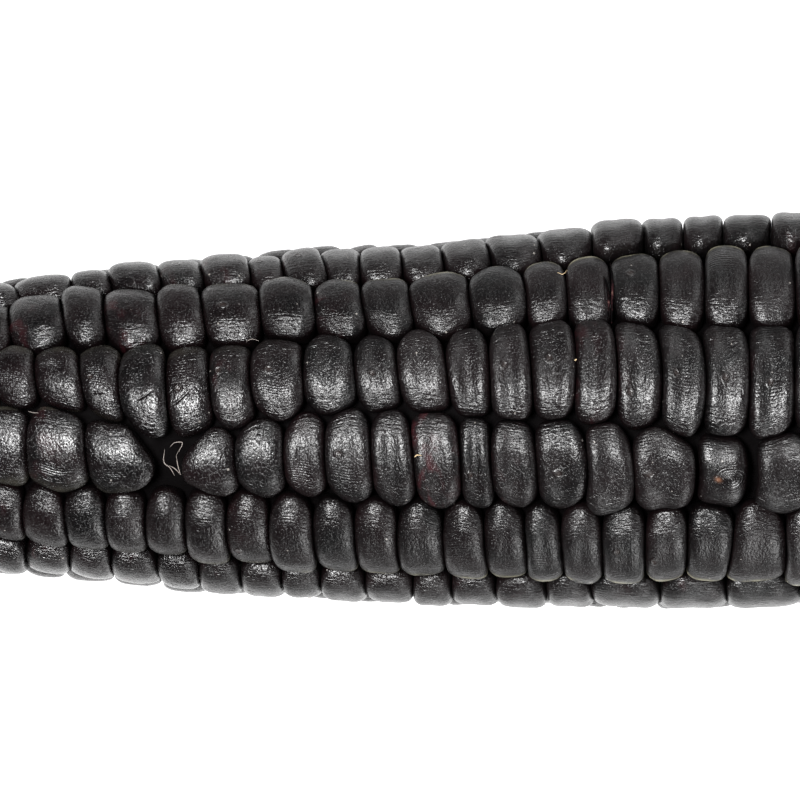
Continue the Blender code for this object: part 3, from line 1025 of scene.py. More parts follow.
def skin_relief(tree, on):
    """The skin's height in metres."""
    height = on.across * (1.0 - on.ends) * ACROSS_HEIGHT + on.along * on.ends * ALONG_HEIGHT
    height = height + on.grain * GRAIN_HEIGHT + on.grain.rise(0.54, 0.78) * PEBBLE_HEIGHT
    height = height * (1.0 - on.glossy * GLOSSY_SMOOTHS)

    band_y, band_width, band_height = attribute(tree, "band").parts()
    pleats = ((on.y + on.across * 0.012) * PLEATS).math("SINE") * on.x.hill(-0.25, 0.62) * band_height
    height = height + pleats * on.y.hill(band_y, band_width) * PLEAT_HEIGHT

    crease_x, crease_y, crease_lean = attribute(tree, "crease").parts()
    line = (on.y - crease_y - (on.x - crease_x) * crease_lean).hill(0.0, 0.035) * on.x.hill(crease_x, 0.38)
    has_crease = crease_lean.math("GREATER_THAN", NO_CREASE[2] / 2)
    height = height - line * has_crease * CREASE_DEPTH

    ring = on.from_scar.hill(SCAR_RADIUS, 0.12) * on.scarred
    rings = (on.from_scar * DRIED_RINGS).math("SINE") * on.glossy * on.from_scar.rise(2.2, 0.3)
    return height + ring * SCAR_RING_HEIGHT + rings * DRIED_RING_HEIGHT


# %% [markdown]
# ## Colour of the skin
# The film is black with a purple cast that comes and goes. Ridges get a painted grey sheen, and deep
# between kernels painted shade takes the colour out. A bitten or bruised skin shows dull red. The flanks'
# kernels get a painted reflection of the floor: paler at the end that turns down, and on some a thin olive
# rim of painted floor light there. Dust comes last.

# %% Colour
BLACK = (0.0007, 0.0005, 0.0006, 1)
BROWN_PURPLE = (0.0056, 0.0024, 0.0028, 1)
# Painted shade, deep down between the kernels.
PAINTED_SHADE_DEEP = (0.0008, 0.0006, 0.0006, 1)
# Painted sheen: the grey that lightens the crowns' grain peaks and wrinkle ridges.
PAINTED_SHEEN_GREY = (0.022, 0.019, 0.019, 1)
DRIED_RED = (0.030, 0.006, 0.008, 1)
# Painted reflection of the white floor, on the flank kernels' ends that turn down.
PAINTED_FLOOR_REFLECTION = (0.060, 0.058, 0.044, 1)
# Painted rim of floor light: a thin olive line at the outward end of low flank kernels.
PAINTED_RIM_LIGHT = (0.34, 0.32, 0.22, 1)
SCAR_BROWN = (0.026, 0.018, 0.016, 1)
AMBER = (0.12, 0.055, 0.03, 1)
DUST_GREY = (0.26, 0.24, 0.22, 1)
PATCH_SIZE = 0.0035
# Where painted floor reflection lies on ends and rims, in the model's metres: heights, a stretch along it.
PALE_UNDER = (0.036, 0.031)
RIMS_ABOVE = (0.013, 0.024)
RIMS_START_OVER = (-0.04, 0.02)
RIM_AT, RIM_WIDTH = 0.77, 0.08
DUST_SPACING = 0.0011
DUST_AMOUNT = 0.22


def skin_colour(tree, on):
    """The skin's colour, from the film itself to what lies on it, with painted shade, sheen and reflection.
    """
    patches = group_in(tree, mottle, "Patches", Place=on.place, Size=PATCH_SIZE)
    colour = mixed(tree, patches * 0.5 + on.tint * 0.35 - 0.1, BLACK, BROWN_PURPLE)
    # Painted shade: the colour goes darker down the kernels' walls, deep between them.
    colour = mixed(tree, on.z.rise(0.90, 0.45), colour, PAINTED_SHADE_DEEP)
    # Painted sheen: the grain's peaks, and the wrinkle ridges at the ends, are lightened grey on the crown.
    ridges = on.grain.rise(0.60, 0.74) * 0.5 + on.along.rise(0.52, 0.75) * on.ends * 0.3
    colour = mixed(tree, ridges * on.z.rise(0.80, 1.0), colour, PAINTED_SHEEN_GREY)
    stain = noise(tree, stretched(tree, on.pattern, 0.8, 0.5, 3.0), 1.0) + on.red * 0.08
    stained = stain.rise(0.54, 0.80) * on.red * (on.x.rise(0.5, -0.5) * 0.8 + 0.2)
    colour = mixed(tree, stained, colour, DRIED_RED)

    place_x, place_y, place_z = on.place.parts()
    low_down = place_z.rise(*PALE_UNDER)
    outward = place_y.math("SIGN") * on.y
    # Painted reflection of the floor: flank kernels low on the ear are lighter at the end that turns down.
    colour = mixed(tree, outward.rise(0.50, 0.95) * low_down * patches * 0.6, colour, PAINTED_FLOOR_REFLECTION)
    # Painted rim of floor light: a thin olive line at that end, low on the ear and towards the butt.
    rim = outward.hill(RIM_AT, RIM_WIDTH) * place_x.rise(*RIMS_START_OVER) * patches.rise(0.15, 0.75)
    colour = mixed(tree, rim * low_down * place_z.rise(*RIMS_ABOVE), colour, PAINTED_RIM_LIGHT)

    colour = mixed(tree, on.from_scar.hill(0.0, 0.32) * on.scarred * 0.6, colour, SCAR_BROWN)
    amber = on.x.hill(-0.22, 0.12) * on.y.hill(-0.10, 0.06) * on.glossy
    colour = mixed(tree, amber, colour, AMBER)
    specks = group_in(tree, dust, "Specks", Place=on.place, Spacing=DUST_SPACING, Amount=DUST_AMOUNT)
    return mixed(tree, specks * 0.7, colour, DUST_GREY)


# %% Skin
SKIN_ROUGHNESS = 0.245
SKIN_IOR = 1.47


def dress(tree, height, colour, roughness):
    """Feeds a material's surface."""
    surface = tree.nodes["Principled BSDF"]
    bump = tree.nodes.new("ShaderNodeBump")
    bump.inputs["Distance"].default_value = 1.0
    join(tree, height, bump.inputs["Height"])
    tree.links.new(bump.outputs["Normal"], surface.inputs["Normal"])
    join(tree, colour, surface.inputs["Base Color"])
    join(tree, roughness, surface.inputs["Roughness"])
    return surface


def kernel_skin():
    """The kernels' material."""
    material = bpy.data.materials.new("kernel_skin")
    material.use_nodes = True
    tree = material.node_tree
    on = skin_values(tree)
    roughness = on.across * 0.10 + on.grain * 0.08 - on.polish * 0.12 + on.glossy * 0.10 + SKIN_ROUGHNESS
    surface = dress(tree, skin_relief(tree, on), skin_colour(tree, on), roughness)
    surface.inputs["IOR"].default_value = SKIN_IOR
    return material


skin = kernel_skin()
print("the skin has", len(skin.node_tree.nodes), "nodes")

# %% Twelve rows of kernels
KERNEL_KEEPS = ("unit", "skin", "scar", "band", "crease")


def make_row(row):
    """One row of kernels: a point for each cell, filled by the tree and made a plain mesh."""
    cells = CELLS[row]
    points = bpy.data.meshes.new("cells")
    points.from_pydata([(cell["along"][0], 0, 0) for cell in cells], [], [])
    for name in cells[0]:
        store_vector(points, name, [cell[name] for cell in cells])
    thing = new_object(f"kernel_row_{row + 1:02d}", points)
    filler = thing.modifiers.new("kernels", "NODES")
    filler.node_group = kernels_in_cells
    set_input(filler, "Cage", cage)
    set_input(filler, "Skin", skin)
    set_input(filler, "Seed", float(row))
    made_plain(thing, KERNEL_KEEPS)
    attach(thing, "root")
    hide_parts("kernels")
    return thing


kernel_rows = [make_row(row) for row in range(ROW_COUNT)]
print("faces in each row:", [len(thing.data.polygons) for thing in kernel_rows])
bpy.data.objects.remove(cage)

# %% [markdown]
# ## Dry plant matter
# The cob, its bare tip, the stalk and the chaff between them are one stuff at different ages: woody where
# it is thick, papery where it is thin, straw-coloured where it is clean and purple-brown near the black
# kernels. One recipe serves them all. Each mesh says at every point, by the three numbers of its tone,
# how clean it is there, the chance of the scale or thread it belongs to, and whether it is grey silk.

# %% The dry material
DARK_CHAFF = (0.0012, 0.0009, 0.0010, 1)
PURPLE_CHAFF = (0.090, 0.034, 0.038, 1)
STRAW = (0.42, 0.30, 0.165, 1)
PALE_STRAW = (0.62, 0.51, 0.33, 1)
SILK_GREY = (0.26, 0.23, 0.21, 1)
PIT_SIZE = 0.00030
PIT_HEIGHT = 0.00004
DRY_ROUGHNESS = 0.72
DRY_SPECULAR = 0.03
# The width, length and height of the ridges. On paper the first two are in lengths of a flake.
WOOD_RIDGES = (0.00035, 0.0030, 0.00012)
PAPER_RIDGES = (0.16, 1.6, 0.00005)


def dry_matter(name, ridge_width, ridge_length, ridge_height, turned=False):
    """Dry cob, husk or stalk, ridged along the ear, or along each scale where it is turned to the scale."""
    material = bpy.data.materials.new(name)
    material.use_nodes = True
    tree = material.node_tree
    place = object_place(tree)
    clean, chance, silky = attribute(tree, "tone").parts()
    ridged = place
    if turned:
        leaf_x, leaf_y, leaf_z = attribute(tree, "leaf").parts()
        ridged = vector(tree, leaf_x, leaf_y + chance * 9.0, leaf_z)
    ridges = group_in(tree, fibre, "Height", Place=ridged, Width=ridge_width, Length=ridge_length)
    patches = group_in(tree, mottle, "Patches", Place=place, Size=0.0016)
    stained = mixed(tree, (clean + (patches - 0.5) * 0.5).rise(0.05, 0.50), DARK_CHAFF, PURPLE_CHAFF)
    straw = mixed(tree, ridges.rise(0.30, 0.70), STRAW, PALE_STRAW)
    cleaned = (clean + (patches - 0.5) * 0.6 + (chance - 0.5) * 0.3).rise(0.25, 0.85)
    colour = mixed(tree, silky, mixed(tree, cleaned, stained, straw), SILK_GREY)
    height = ridges * ridge_height + noise(tree, place, 1 / PIT_SIZE) * PIT_HEIGHT
    surface = dress(tree, height, colour, patches * 0.15 + DRY_ROUGHNESS)
    surface.inputs["Specular IOR Level"].default_value = DRY_SPECULAR
    return material


wood = dry_matter("dry_cob", *WOOD_RIDGES)
paper = dry_matter("dry_chaff", *PAPER_RIDGES, turned=True)
print("dry matter:", wood.name, paper.name)

# %% [markdown]
# ## The cob under the kernels
# What shows between kernels, in the hole where one is missing and at the butt is the cob itself. It is a
# body turned round the ear's bent axis, not quite four millimetres under the crowns, so that every
# kernel's root sinks into it. At the butt it curls in to meet the stalk, as the end of a broken ear does.

# %% Bodies turned round the axis
NOISE_ROUND = 0.012


def ring_run(profile, spacing):
    """Evenly spaced (place, radius) along a profile of straight stretches."""
    rings = [profile[0]]
    for (at0, radius0), (at1, radius1) in zip(profile, profile[1:]):
        count = max(1, round(math.hypot(at1 - at0, radius1 - radius0) / spacing))
        for i in range(1, count + 1):
            rings.append((at0 + (at1 - at0) * i / count, radius0 + (radius1 - radius0) * i / count))
    return rings


def round_body(name, rings, sides, relief, tone):
    """A closed body of rings round the ear's axis. Relief gives how far a point moves along and out."""
    shape = bmesh.new()
    last = len(rings) - 1
    bmesh.ops.create_grid(shape, x_segments=last, y_segments=sides, size=1.0)
    tone_layer = shape.verts.layers.float_vector.new("tone")
    for vert in shape.verts:
        at, radius = rings[round((vert.co.x + 1) / 2 * last)]
        turn = math.tau * (round((vert.co.y + 1) / 2 * sides) % sides) / sides
        forward, outward = relief(at, radius, turn)
        vert[tone_layer] = tone(at, radius, turn)
        vert.co = round_ear(at + forward, turn, max(radius + outward, 0.00003))
    bmesh.ops.remove_doubles(shape, verts=shape.verts, dist=1e-7)
    bmesh.ops.holes_fill(shape, edges=[edge for edge in shape.edges if edge.is_boundary])
    bmesh.ops.recalc_face_normals(shape, faces=shape.faces)
    mesh = bpy.data.meshes.new(name)
    shape.to_mesh(mesh)
    shape.free()
    mesh.shade_smooth()
    return new_object(name, mesh)


def roughly(at, turn, size, seed=0.0):
    """Smooth noise from -1 to 1 round the ear."""
    aside, up = NOISE_ROUND * math.sin(turn), NOISE_ROUND * math.cos(turn)
    return value_noise(Vector((at / size, aside / size, up / size + seed)))


def own(thing, node, slot, *materials):
    """A finished piece: what it wears, what it rides on and what it stands for."""
    for material in materials:
        thing.data.materials.append(material)
    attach(thing, "root")
    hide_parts(node)
    return thing


# %% The cob
COB_DEPTH = 0.0039
COB_TIP_FROM = 0.0012
COB_TIP_RADIUS = 0.0010
COB_ENDS_BEFORE = 0.0018
COB_STEPS = 60
COB_SPACING = 0.0008
COB_ROUGHNESS = 0.00035
COB_SIDES = 96
STUB_RADIUS = 0.0078


def cob_relief(at, radius, turn):
    """Rough as bark under the kernels."""
    return 0.0, COB_ROUGHNESS * (roughly(at, turn, 0.0012) + 0.6 * roughly(at, turn, 0.0005, 7.0))


def cob_tone(at, radius, turn):
    """Dark between the kernels, straw-coloured at the butt."""
    inner = blend(0.0130, 0.0085, radius) if at > 0.5 * EAR_LENGTH else 0.0
    return (0.75 * blend(EAR_LENGTH - 0.006, EAR_LENGTH - 0.002, at) * inner - 0.2, 0.5, 0.0)


def cob_profile():
    """From inside the bare tip, out under the kernels, and in again round the stalk."""
    under = []
    for i in range(COB_STEPS + 1):
        at = COB_TIP_FROM + (EAR_LENGTH - COB_ENDS_BEFORE - COB_TIP_FROM) * i / COB_STEPS
        size = min(1.0, kernel_pitch(at) / MIDDLE_PITCH)
        under.append((at, curve_value(CROWN_PROFILE, at) - COB_DEPTH * size))
    last = under[-1][1]
    curl = [
        (EAR_LENGTH - 0.0008, last - 0.0007),
        (EAR_LENGTH - 0.0006, last - 0.0018),
        (EAR_LENGTH - 0.0014, last - 0.0030),
        (EAR_LENGTH - 0.0026, STUB_RADIUS + 0.0002),
        (EAR_LENGTH - 0.0040, STUB_RADIUS - 0.0010),
    ]
    return [(COB_TIP_FROM, COB_TIP_RADIUS), *under, *curl]


cob = round_body("cob", ring_run(cob_profile(), COB_SPACING), COB_SIDES, cob_relief, cob_tone)
own(cob, "kernels", "cob_straw", wood)
print("the cob has", len(cob.data.polygons), "faces")

# %% [markdown]
# ## The bare tip and the stub of the stalk
# An ear ripens from the butt, and the last florets at its tip never set a kernel: a woody nub stays,
# covered in their empty scales. At the other end the ear was snapped off its stalk. Husk leaves sat there
# in rings, and the break is ragged, with a pithy middle. Both are turned bodies too, with their ridges as
# a formula.

# %% The nub at the tip
NUB_RADIUS = 0.0034
NUB_LENGTH = 0.0075
NUB_SEAT = 0.0050
NUB_RINGS = 44
NUB_SIDES = 64


def nub_radius(at):
    """Outline of the nub, whose free end is round."""
    return NUB_RADIUS * math.sqrt(max(1 - 0.985 * blend(0.0, NUB_LENGTH, -at) ** 1.5, 0.0))


def nub_relief(at, radius, turn):
    """Uneven where florets sat."""
    return 0.0, 0.00028 * roughly(at, turn, 0.0011, 3.0) + 0.00014 * roughly(at, turn, 0.0004, 5.0)


def nub_tone(at, radius, turn):
    """Purple-brown at the kernels, straw further out."""
    return (0.22 + 0.45 * blend(0.0, 0.0050, -at) + 0.20 * roughly(at, turn, 0.0030, 9.0), 0.5, 0.0)


nub_places = [NUB_SEAT - (NUB_SEAT + NUB_LENGTH) * i / NUB_RINGS for i in range(NUB_RINGS + 1)]
nub = round_body("bare_tip", [(at, nub_radius(at)) for at in nub_places], NUB_SIDES, nub_relief, nub_tone)
own(nub, "cob_tip", "cob_straw", wood)
print("the nub has", len(nub.data.polygons), "faces")

# %% The stub at the butt
STUB_RIDGES = 31
STUB_RIDGE_HEIGHT = 0.00016
STUB_SPACING = 0.00028
SIDES_A_RIDGE = 5
BREAK_FROM = 0.0106
# Where husk leaves tore off: how far from the mouth of the butt, and how far the dark scar reaches.
HUSK_SCARS = ((0.0052, 0.0009), (0.0096, 0.0008))
# Along the stub from the mouth of the butt, and out from the axis.
STUB_PROFILE = (
    (-0.0040, 0.0070),
    (0.0000, 0.0076),
    (0.0034, 0.0071),
    (0.0041, 0.0079),
    (0.0046, 0.0078),
    (0.0055, 0.0068),
    (0.0078, 0.0065),
    (0.0085, 0.0070),
    (0.0089, 0.0069),
    (0.0098, 0.0061),
    (0.0118, 0.0058),
    (0.0120, 0.0055),
    (0.0117, 0.0050),
    (0.0110, 0.0046),
    (0.0111, 0.0020),
    (0.0108, 0.0001),
)


def stub_relief(at, radius, turn):
    """Ridges along the stalk, and a ragged break at its end."""
    from_mouth = at - BUTT_MOUTH
    side = blend(0.0048, 0.0056, radius)
    wave = math.sin(0.5 * STUB_RIDGES * turn + 1.3 * roughly(at, turn, 0.006))
    ridge = (abs(wave) - 0.5) * STUB_RIDGE_HEIGHT
    broken = blend(BREAK_FROM, 0.0118, from_mouth)
    ragged = 0.0007 * roughly(0.0, turn, 0.0018, 2.0) + 0.0004 * roughly(radius * 3, turn, 0.0006, 4.0)
    rough = 0.00010 * roughly(at, turn, 0.0005, 6.0)
    return broken * ragged, side * ridge * (1 + broken) + rough


def stub_tone(at, radius, turn):
    """Straw, with darker scars under the rings and a pale pith."""
    from_mouth = at - BUTT_MOUTH
    scar = sum(math.exp(-(((from_mouth - place) / reach) ** 2)) for place, reach in HUSK_SCARS)
    pith = 0.35 * blend(0.0050, 0.0036, radius) * (from_mouth > 0.0100)
    return (0.66 - 0.30 * scar + pith + 0.22 * roughly(at, turn, 0.0028, 8.0), 0.5, 0.0)


stub_rings = [(BUTT_MOUTH + at, radius) for at, radius in ring_run(STUB_PROFILE, STUB_SPACING)]
stub = round_body("stalk_stub_ridged", stub_rings, STUB_RIDGES * SIDES_A_RIDGE, stub_relief, stub_tone)
own(stub, "stalk_stub", "cob_straw", wood)
print("the stub has", len(stub.data.polygons), "faces")

# %% [markdown]
# ## Scales
# Empty florets on the tip, chaff round the butt kernels and torn husk on the stalk are all small cupped
# flakes that stand on a surface. One flake is modelled, and a Geometry Nodes tree sets it on points: each
# point carries the turn, the size and the tone of its flake. Where the points go differs from place to
# place, so that is worked out by a small function for each.

# %% One flake
FLAKE_FACES = (4, 3)
FLAKE_HALF_WIDTH = 0.42
FLAKE_CUP = 0.45
FLAKE_LIFT = 0.22
FLAKE_THICKNESS = 0.05


def flake_cage():
    """A pointed, cupped flake, one unit long, that grows along X from its root and opens towards +Z."""
    shape = bmesh.new()
    bmesh.ops.create_grid(shape, x_segments=FLAKE_FACES[0], y_segments=FLAKE_FACES[1], size=1.0)
    leaf = shape.verts.layers.float_vector.new("leaf")
    for vert in shape.verts:
        along, across = (vert.co.x + 1) / 2, vert.co.y
        half = FLAKE_HALF_WIDTH * math.sin(math.pi * (0.16 + 0.80 * along)) ** 0.7
        vert[leaf] = (along, across * 0.5, 0.0)
        lift = FLAKE_CUP * (across * half) ** 2 + FLAKE_LIFT * along**2
        vert.co = (along * (1 - 0.12 * across * across), across * half, lift)
    bmesh.ops.solidify(shape, geom=shape.faces, thickness=FLAKE_THICKNESS)
    bmesh.ops.recalc_face_normals(shape, faces=shape.faces)
    thing = new_object("flake_cage", bpy.data.meshes.new("flake_cage"))
    shape.to_mesh(thing.data)
    shape.free()
    thing.hide_render = True
    return thing


flake = flake_cage()
print("the flake has", len(flake.data.polygons), "faces")

# %% Flake tree
# How far each place's flakes are crumpled.
TIP_CRUMPLE = 0.00012
BUTT_CRUMPLE = 0.00018
HUSK_CRUMPLE = 0.00018
CRUMPLE_SIZE = 0.0007


def flake_tree():
    """Sets the flake on every point, turned and sized as the point says."""
    tree, inputs = empty_tree(
        "flakes_on_points",
        {
            "Flake": ("NodeSocketObject", None),
            "Finish": ("NodeSocketMaterial", None),
            "Crumple": ("NodeSocketFloat", TIP_CRUMPLE),
            "Crumple size": ("NodeSocketFloat", CRUMPLE_SIZE),
        },
    )
    flake = output_of(tree, "GeometryNodeObjectInfo", {"Object": inputs["Flake"]}, "Geometry")
    turn = output_of(tree, "FunctionNodeEulerToRotation", {"Euler": stored(tree, "turn")})
    size = stored(tree, "size")
    placed = {"Points": inputs["Geometry"], "Instance": flake, "Rotation": turn, "Scale": size}
    copies = output_of(tree, "GeometryNodeInstanceOnPoints", placed)
    flakes = output_of(tree, "GeometryNodeRealizeInstances", {"Geometry": copies})
    place = output_of(tree, "GeometryNodeInputPosition", {})
    scale = 1.0 / inputs["Crumple size"]
    waves = output_of(tree, "ShaderNodeTexNoise", {"Vector": place, "Scale": scale, "Detail": 1.0}, "Color")
    middle = output_of(tree, "ShaderNodeVectorMath", {0: waves, 1: (0.5, 0.5, 0.5)}, operation="SUBTRACT")
    reach = inputs["Crumple"] * 2.0
    moved = output_of(tree, "ShaderNodeVectorMath", {0: middle, "Scale": reach}, operation="SCALE")
    crumpled = output_of(tree, "GeometryNodeSetPosition", {"Geometry": flakes, "Offset": moved})
    smooth = output_of(tree, "GeometryNodeSetShadeSmooth", {"Geometry": crumpled})
    finish_tree(tree, smooth, inputs["Finish"])
    return tree


flakes_on_points = flake_tree()
print("the flake tree has", len(flakes_on_points.nodes), "nodes")

# %% Where flakes stand
GOLDEN_ANGLE = math.radians(137.5)
FLORET_COUNT = 120
FLORET_LENGTH = 0.0019
FLORETS_SHRINK = 0.0009
FLORET_LEAN = 52
FLORETS_LEAN_MORE = 30
FLORET_SEAT = 0.0003
CHAFF_COUNT = 64
CHAFF_AT = EAR_LENGTH - 0.0016
CHAFF_RADII = (0.0092, 0.0122)
CHAFF_LENGTHS = (0.0014, 0.0026)
CHAFF_LEANS = (35, 80)
HUSK_LENGTHS = (0.0012, 0.0034)
HUSK_WIDTHS = (0.0012, 0.0024)
HUSK_LEANS = (48, 84)
# The rings that husk leaves sat in: how far from the mouth of the butt, how far out, how many flakes.
HUSK_RINGS = ((0.0042, 0.0074, 34), (0.0086, 0.0066, 26))


def standing(at, turn, radius, lean, twist, size, tone):
    """A flake on the ear: lean is from square to the surface towards the tip, or to the butt below 0."""
    out = Vector((0, math.sin(turn), math.cos(turn)))
    tipward = Vector((-1, 0, 0))
    along = out * math.cos(lean) + tipward * math.sin(lean)
    across = out.cross(tipward)
    up = along.cross(across)
    across = across * math.cos(twist) + up * math.sin(twist)
    up = along.cross(across)
    stance = Matrix((along, across, up)).transposed().to_euler()
    return {"place": round_ear(at, turn, radius), "turn": stance, "size": size, "tone": tone}


def tip_flakes():
    """Empty florets all over the nub, in a spiral, smaller to its end."""
    chance = random.Random(SEED * 700)
    flakes = []
    for i in range(FLORET_COUNT):
        share = i / FLORET_COUNT
        at = 0.0006 - (NUB_LENGTH - 0.0002) * share**0.92
        length = (FLORET_LENGTH - FLORETS_SHRINK * share) * chance.uniform(0.75, 1.2)
        size = (length, length * chance.uniform(0.8, 1.3), length * chance.uniform(0.7, 1.6))
        lean = math.radians(FLORET_LEAN + FLORETS_LEAN_MORE * share + chance.gauss(0, 14))
        tone = (min(0.35 + 0.5 * share + chance.gauss(0, 0.18), 1.0), chance.random(), 0.0)
        turn = GOLDEN_ANGLE * i + chance.gauss(0, 0.12)
        radius = nub_radius(at) - FLORET_SEAT
        flakes.append(standing(at, turn, radius, lean, chance.gauss(0, 0.3), size, tone))
    return flakes


def butt_flakes():
    """Chaff between the last kernels and the stalk."""
    chance = random.Random(SEED * 710)
    flakes = []
    for i in range(CHAFF_COUNT):
        turn = math.tau * (i + chance.uniform(-0.4, 0.4)) / CHAFF_COUNT
        radius = chance.uniform(*CHAFF_RADII)
        length = chance.uniform(*CHAFF_LENGTHS)
        size = (length, length * chance.uniform(0.7, 1.2), length * chance.uniform(0.6, 1.4))
        lean = -math.radians(chance.uniform(*CHAFF_LEANS))
        tone = (chance.uniform(0.25, 0.95), chance.random(), 0.0)
        flakes.append(standing(CHAFF_AT, turn, radius, lean, chance.gauss(0, 0.4), size, tone))
    return flakes


def husk_flakes():
    """What stays of the husk leaves: torn strips on the stalk's two rings."""
    chance = random.Random(SEED * 720)
    flakes = []
    for ring, radius, count in HUSK_RINGS:
        for i in range(count):
            turn = math.tau * (i + chance.uniform(-0.4, 0.4)) / count
            length = chance.uniform(*HUSK_LENGTHS)
            size = (length, chance.uniform(*HUSK_WIDTHS), length * chance.uniform(0.3, 0.9))
            lean = -math.radians(chance.uniform(*HUSK_LEANS))
            tone = (chance.uniform(0.60, 1.0), chance.random(), 0.0)
            at = BUTT_MOUTH + ring
            flakes.append(standing(at, turn, radius, lean, chance.gauss(0, 0.2), size, tone))
    return flakes


# %% The flakes as pieces


def make_flakes(name, flakes, node, crumple):
    """One piece of all the flakes of a place."""
    points = bpy.data.meshes.new("flake_points")
    points.from_pydata([one["place"] for one in flakes], [], [])
    for key in ("turn", "size", "tone"):
        store_vector(points, key, [one[key] for one in flakes])
    thing = new_object(name, points)
    setter = thing.modifiers.new("flakes", "NODES")
    setter.node_group = flakes_on_points
    set_input(setter, "Flake", flake)
    set_input(setter, "Finish", paper)
    set_input(setter, "Crumple", crumple)
    made_plain(thing, ("leaf", "tone"))
    return own(thing, node, "cob_straw")


flake_pieces = [
    make_flakes("tip_florets", tip_flakes(), "cob_tip", TIP_CRUMPLE),
    make_flakes("butt_chaff", butt_flakes(), "kernels", BUTT_CRUMPLE),
    make_flakes("husk_remains", husk_flakes(), "stalk_stub", HUSK_CRUMPLE),
]
print("faces of the flakes:", [len(thing.data.polygons) for thing in flake_pieces])
bpy.data.objects.remove(flake)

# %% [markdown]
# ## Silks and stray bits
# Each kernel hung on one silk. Most came off with the husk: a double one is left curled in the hole, fine
# ones lie at the tip, and scraps of chaff caught between kernels. Two dark dry blades stick up between
# two kernels. All of these are threads. A few points over the ear give a thread's way, a smooth curve
# joins them, and one tree draws a round skin along every way, as thick as the thread says and thinner
# towards its ends.

# %% Ways of the given threads
THREAD_STEPS = 6
# Tones of the threads, from dark to clean straw, and what makes any of them grey.
DARK = 0.05
BROWNISH = 0.62
SILK = 0.75
CHAFF = 0.95
GREY_SILK = 1.0


def way_over(points, thickness, tone, silky=0.0):
    """A thread through (place in MM, angle in degrees, height over the crowns in MM)."""
    axes = [[(k, number) for k, number in enumerate(numbers)] for numbers in zip(*points)]
    way = []
    for i in range((len(points) - 1) * THREAD_STEPS + 1):
        at, turn, lift = [curve_value(axis, i / THREAD_STEPS) for axis in axes]
        radius = curve_value(CROWN_PROFILE, at * MM) + lift * MM
        way.append(round_ear(at * MM, math.radians(turn), radius))
    return {"way": way, "thick": thickness * MM, "tone": (tone, 0.5, silky)}


def silk_in_the_hole():
    """The double silk that is left curled where a kernel is missing."""
    ways = [
        [(48.7, -9, -2.2), (48.6, -13.4, -1.6), (49.3, -15.4, -1.3), (49.8, -18, -1.0)],
        [(49.3, -8, -2.0), (49.8, -6.2, -1.6), (50.7, -6.2, -1.0), (50.0, -10.7, -1.3)],
        [(50.0, -10.7, -1.3), (50.2, -14.7, -1.2), (50.5, -17.4, -0.8)],
        [(50.5, -17.4, -0.8), (49.8, -15.4, -1.1), (49.2, -14.6, -1.3)],
    ]
    return [way_over(way, 0.045, SILK, GREY_SILK) for way in ways]


def dry_blades():
    """Two dark blades that stick up between two kernels."""
    return [
        way_over([(98.1, 31, -0.9), (98.3, 38, -0.15), (98.0, 45, -0.1), (97.8, 49, -0.5)], 0.17, DARK),
        way_over([(98.6, 31, -0.9), (98.7, 38, 0.0), (98.7, 46, 0.1), (98.5, 52, 0.4)], 0.15, DARK),
    ]


def caught_scraps():
    """Scraps of chaff and silk that are caught between kernels."""
    return [
        way_over([(92.6, 49.6, 0.2), (93.2, 48.4, 0.3), (93.7, 50.4, 0.2)], 0.05, CHAFF),
        way_over([(98.4, 15.8, -0.3), (98.6, 17.2, 0.1), (98.9, 18.2, 0.1)], 0.08, CHAFF),
        way_over([(94.1, 17.6, -0.2), (94.7, 18.2, 0.05)], 0.10, BROWNISH),
        way_over([(33.4, 6.4, 0.0), (34.0, 5.8, 0.2), (34.6, 5.6, 0.0)], 0.035, CHAFF, GREY_SILK),
        way_over([(57.8, 28.2, 0.1), (58.4, 28.8, 0.3), (59.2, 28.4, 0.1)], 0.035, CHAFF, GREY_SILK),
        way_over([(76.6, -11.0, -0.1), (76.9, -10.2, 0.1), (77.4, -10.4, 0.1)], 0.08, CHAFF),
        way_over([(114.1, 77, 0.2), (114.9, 79, 0.5), (115.4, 80, 0.3)], 0.16, SILK),
        way_over([(120.4, -58, 0.1), (120.9, -57, 0.2)], 0.11, CHAFF),
    ]


given_threads = silk_in_the_hole() + dry_blades() + caught_scraps()
print("threads with a given way:", len(given_threads))

# %% Ways that are drawn at random
TIP_SILKS = 26
TIP_SILK_THICKNESS = 0.035
HIDDEN_SCRAPS = 36
HIDDEN_ROWS = (3, 9)
SCRAP_ENDS_LIFT, SCRAP_MIDDLE_LIFT = 0.05, 0.25


def tip_silk(chance):
    """A silk that lies back over the tip: it starts off the nub and climbs onto the first kernels."""
    at, turn = chance.uniform(-3.0, 3.5), chance.uniform(0, 360)
    way = []
    for _ in range(5):
        lift = 0.5 + chance.uniform(0.0, 0.5) if at > 2 else -0.2 - 0.75 * (2 - at)
        way.append((at, turn, lift))
        at += chance.uniform(0.8, 2.2)
        turn += chance.gauss(0, 14)
    return way_over(way, TIP_SILK_THICKNESS, chance.uniform(0.3, 0.9))


def hidden_scrap(chance):
    """A scrap in the groove between two kernels of a row on the side that the ear lies on."""
    row = chance.randrange(*HIDDEN_ROWS)
    start, end = ROWS[row][chance.randrange(len(ROWS[row]))][:2]
    turn = math.degrees(row_line(row, start) + row_line(row + 1, start)) / 2 + chance.uniform(-9, 9)
    at, length = start / MM, chance.uniform(0.3, 0.9)
    way = [
        (at - length / 2, turn, SCRAP_ENDS_LIFT),
        (at, turn + chance.uniform(-2, 2), SCRAP_MIDDLE_LIFT),
        (at + length / 2, turn, SCRAP_ENDS_LIFT),
    ]
    return way_over(way, chance.uniform(0.03, 0.07), chance.uniform(0.5, 1.0))


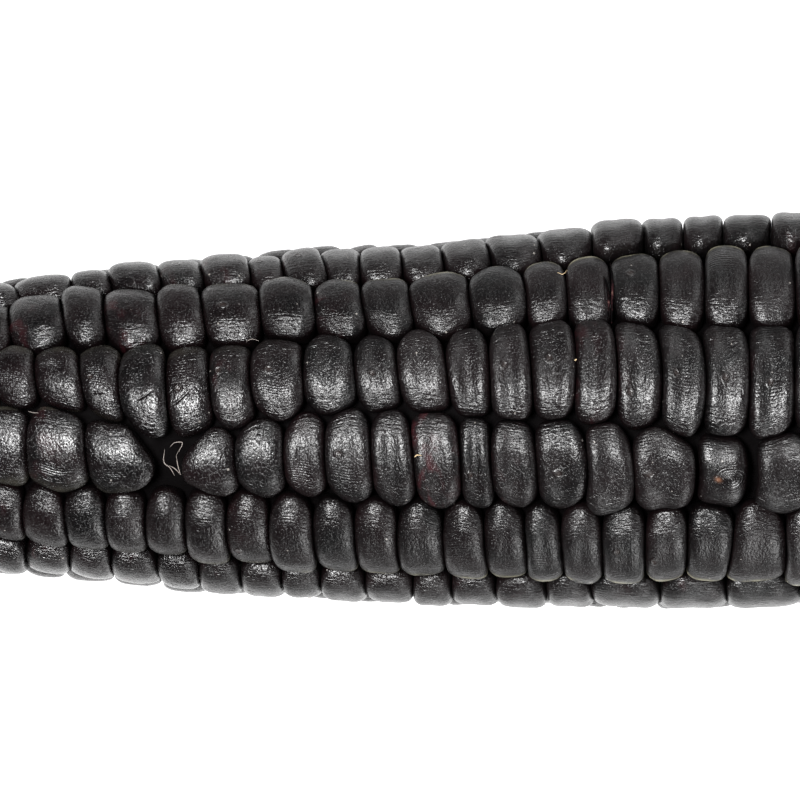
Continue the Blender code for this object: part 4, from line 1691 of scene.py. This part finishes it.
chance = random.Random(SEED * 800)
drawn_threads = [tip_silk(chance) for _ in range(TIP_SILKS)]
drawn_threads += [hidden_scrap(chance) for _ in range(HIDDEN_SCRAPS)]
print("threads that are drawn:", len(drawn_threads))

# %% Thread tree
THREAD_SIDES = 5
THREAD_END = 0.35


def thread_tree():
    """Draws a round skin along every way, as thick as its points say."""
    tree, inputs = empty_tree(
        "skins_along_threads",
        {"Sides": ("NodeSocketInt", THREAD_SIDES), "Finish": ("NodeSocketMaterial", None)},
    )
    ways = output_of(tree, "GeometryNodeMeshToCurve", {"Mesh": inputs["Geometry"]})
    thick = stored(tree, "thick").parts()[0]
    round_shape = {"Resolution": inputs["Sides"], "Radius": 1.0}
    ring = output_of(tree, "GeometryNodeCurvePrimitiveCircle", round_shape)
    drawn = {"Curve": ways, "Profile Curve": ring, "Scale": thick, "Fill Caps": True}
    skins = output_of(tree, "GeometryNodeCurveToMesh", drawn)
    real = output_of(tree, "GeometryNodeRealizeInstances", {"Geometry": skins})
    finish_tree(tree, real, inputs["Finish"])
    return tree


skins_along_threads = thread_tree()
print("the thread tree has", len(skins_along_threads.nodes), "nodes")

# %% Silks and scraps as one piece


def make_threads(name, threads, node):
    """One piece of all the threads, each thinner towards its ends."""
    places, links, thick, tones = [], [], [], []
    for thread in threads:
        first = len(places)
        places += thread["way"]
        links += [(k, k + 1) for k in range(first, len(places) - 1)]
        last = len(thread["way"]) - 1
        for k in range(last + 1):
            share = THREAD_END + (1 - THREAD_END) * math.sin(math.pi * k / last)
            thick.append((thread["thick"] * share, 0, 0))
            tones.append(thread["tone"])
    ways = bpy.data.meshes.new("thread_ways")
    ways.from_pydata(places, links, [])
    store_vector(ways, "thick", thick)
    store_vector(ways, "tone", tones)
    thing = new_object(name, ways)
    drawer = thing.modifiers.new("threads", "NODES")
    drawer.node_group = skins_along_threads
    set_input(drawer, "Finish", paper)
    made_plain(thing, ("tone",))
    return own(thing, node, "cob_straw")


silks = make_threads("silks_and_scraps", given_threads + drawn_threads, "kernels")
print("silks and scraps:", len(silks.data.polygons), "faces")
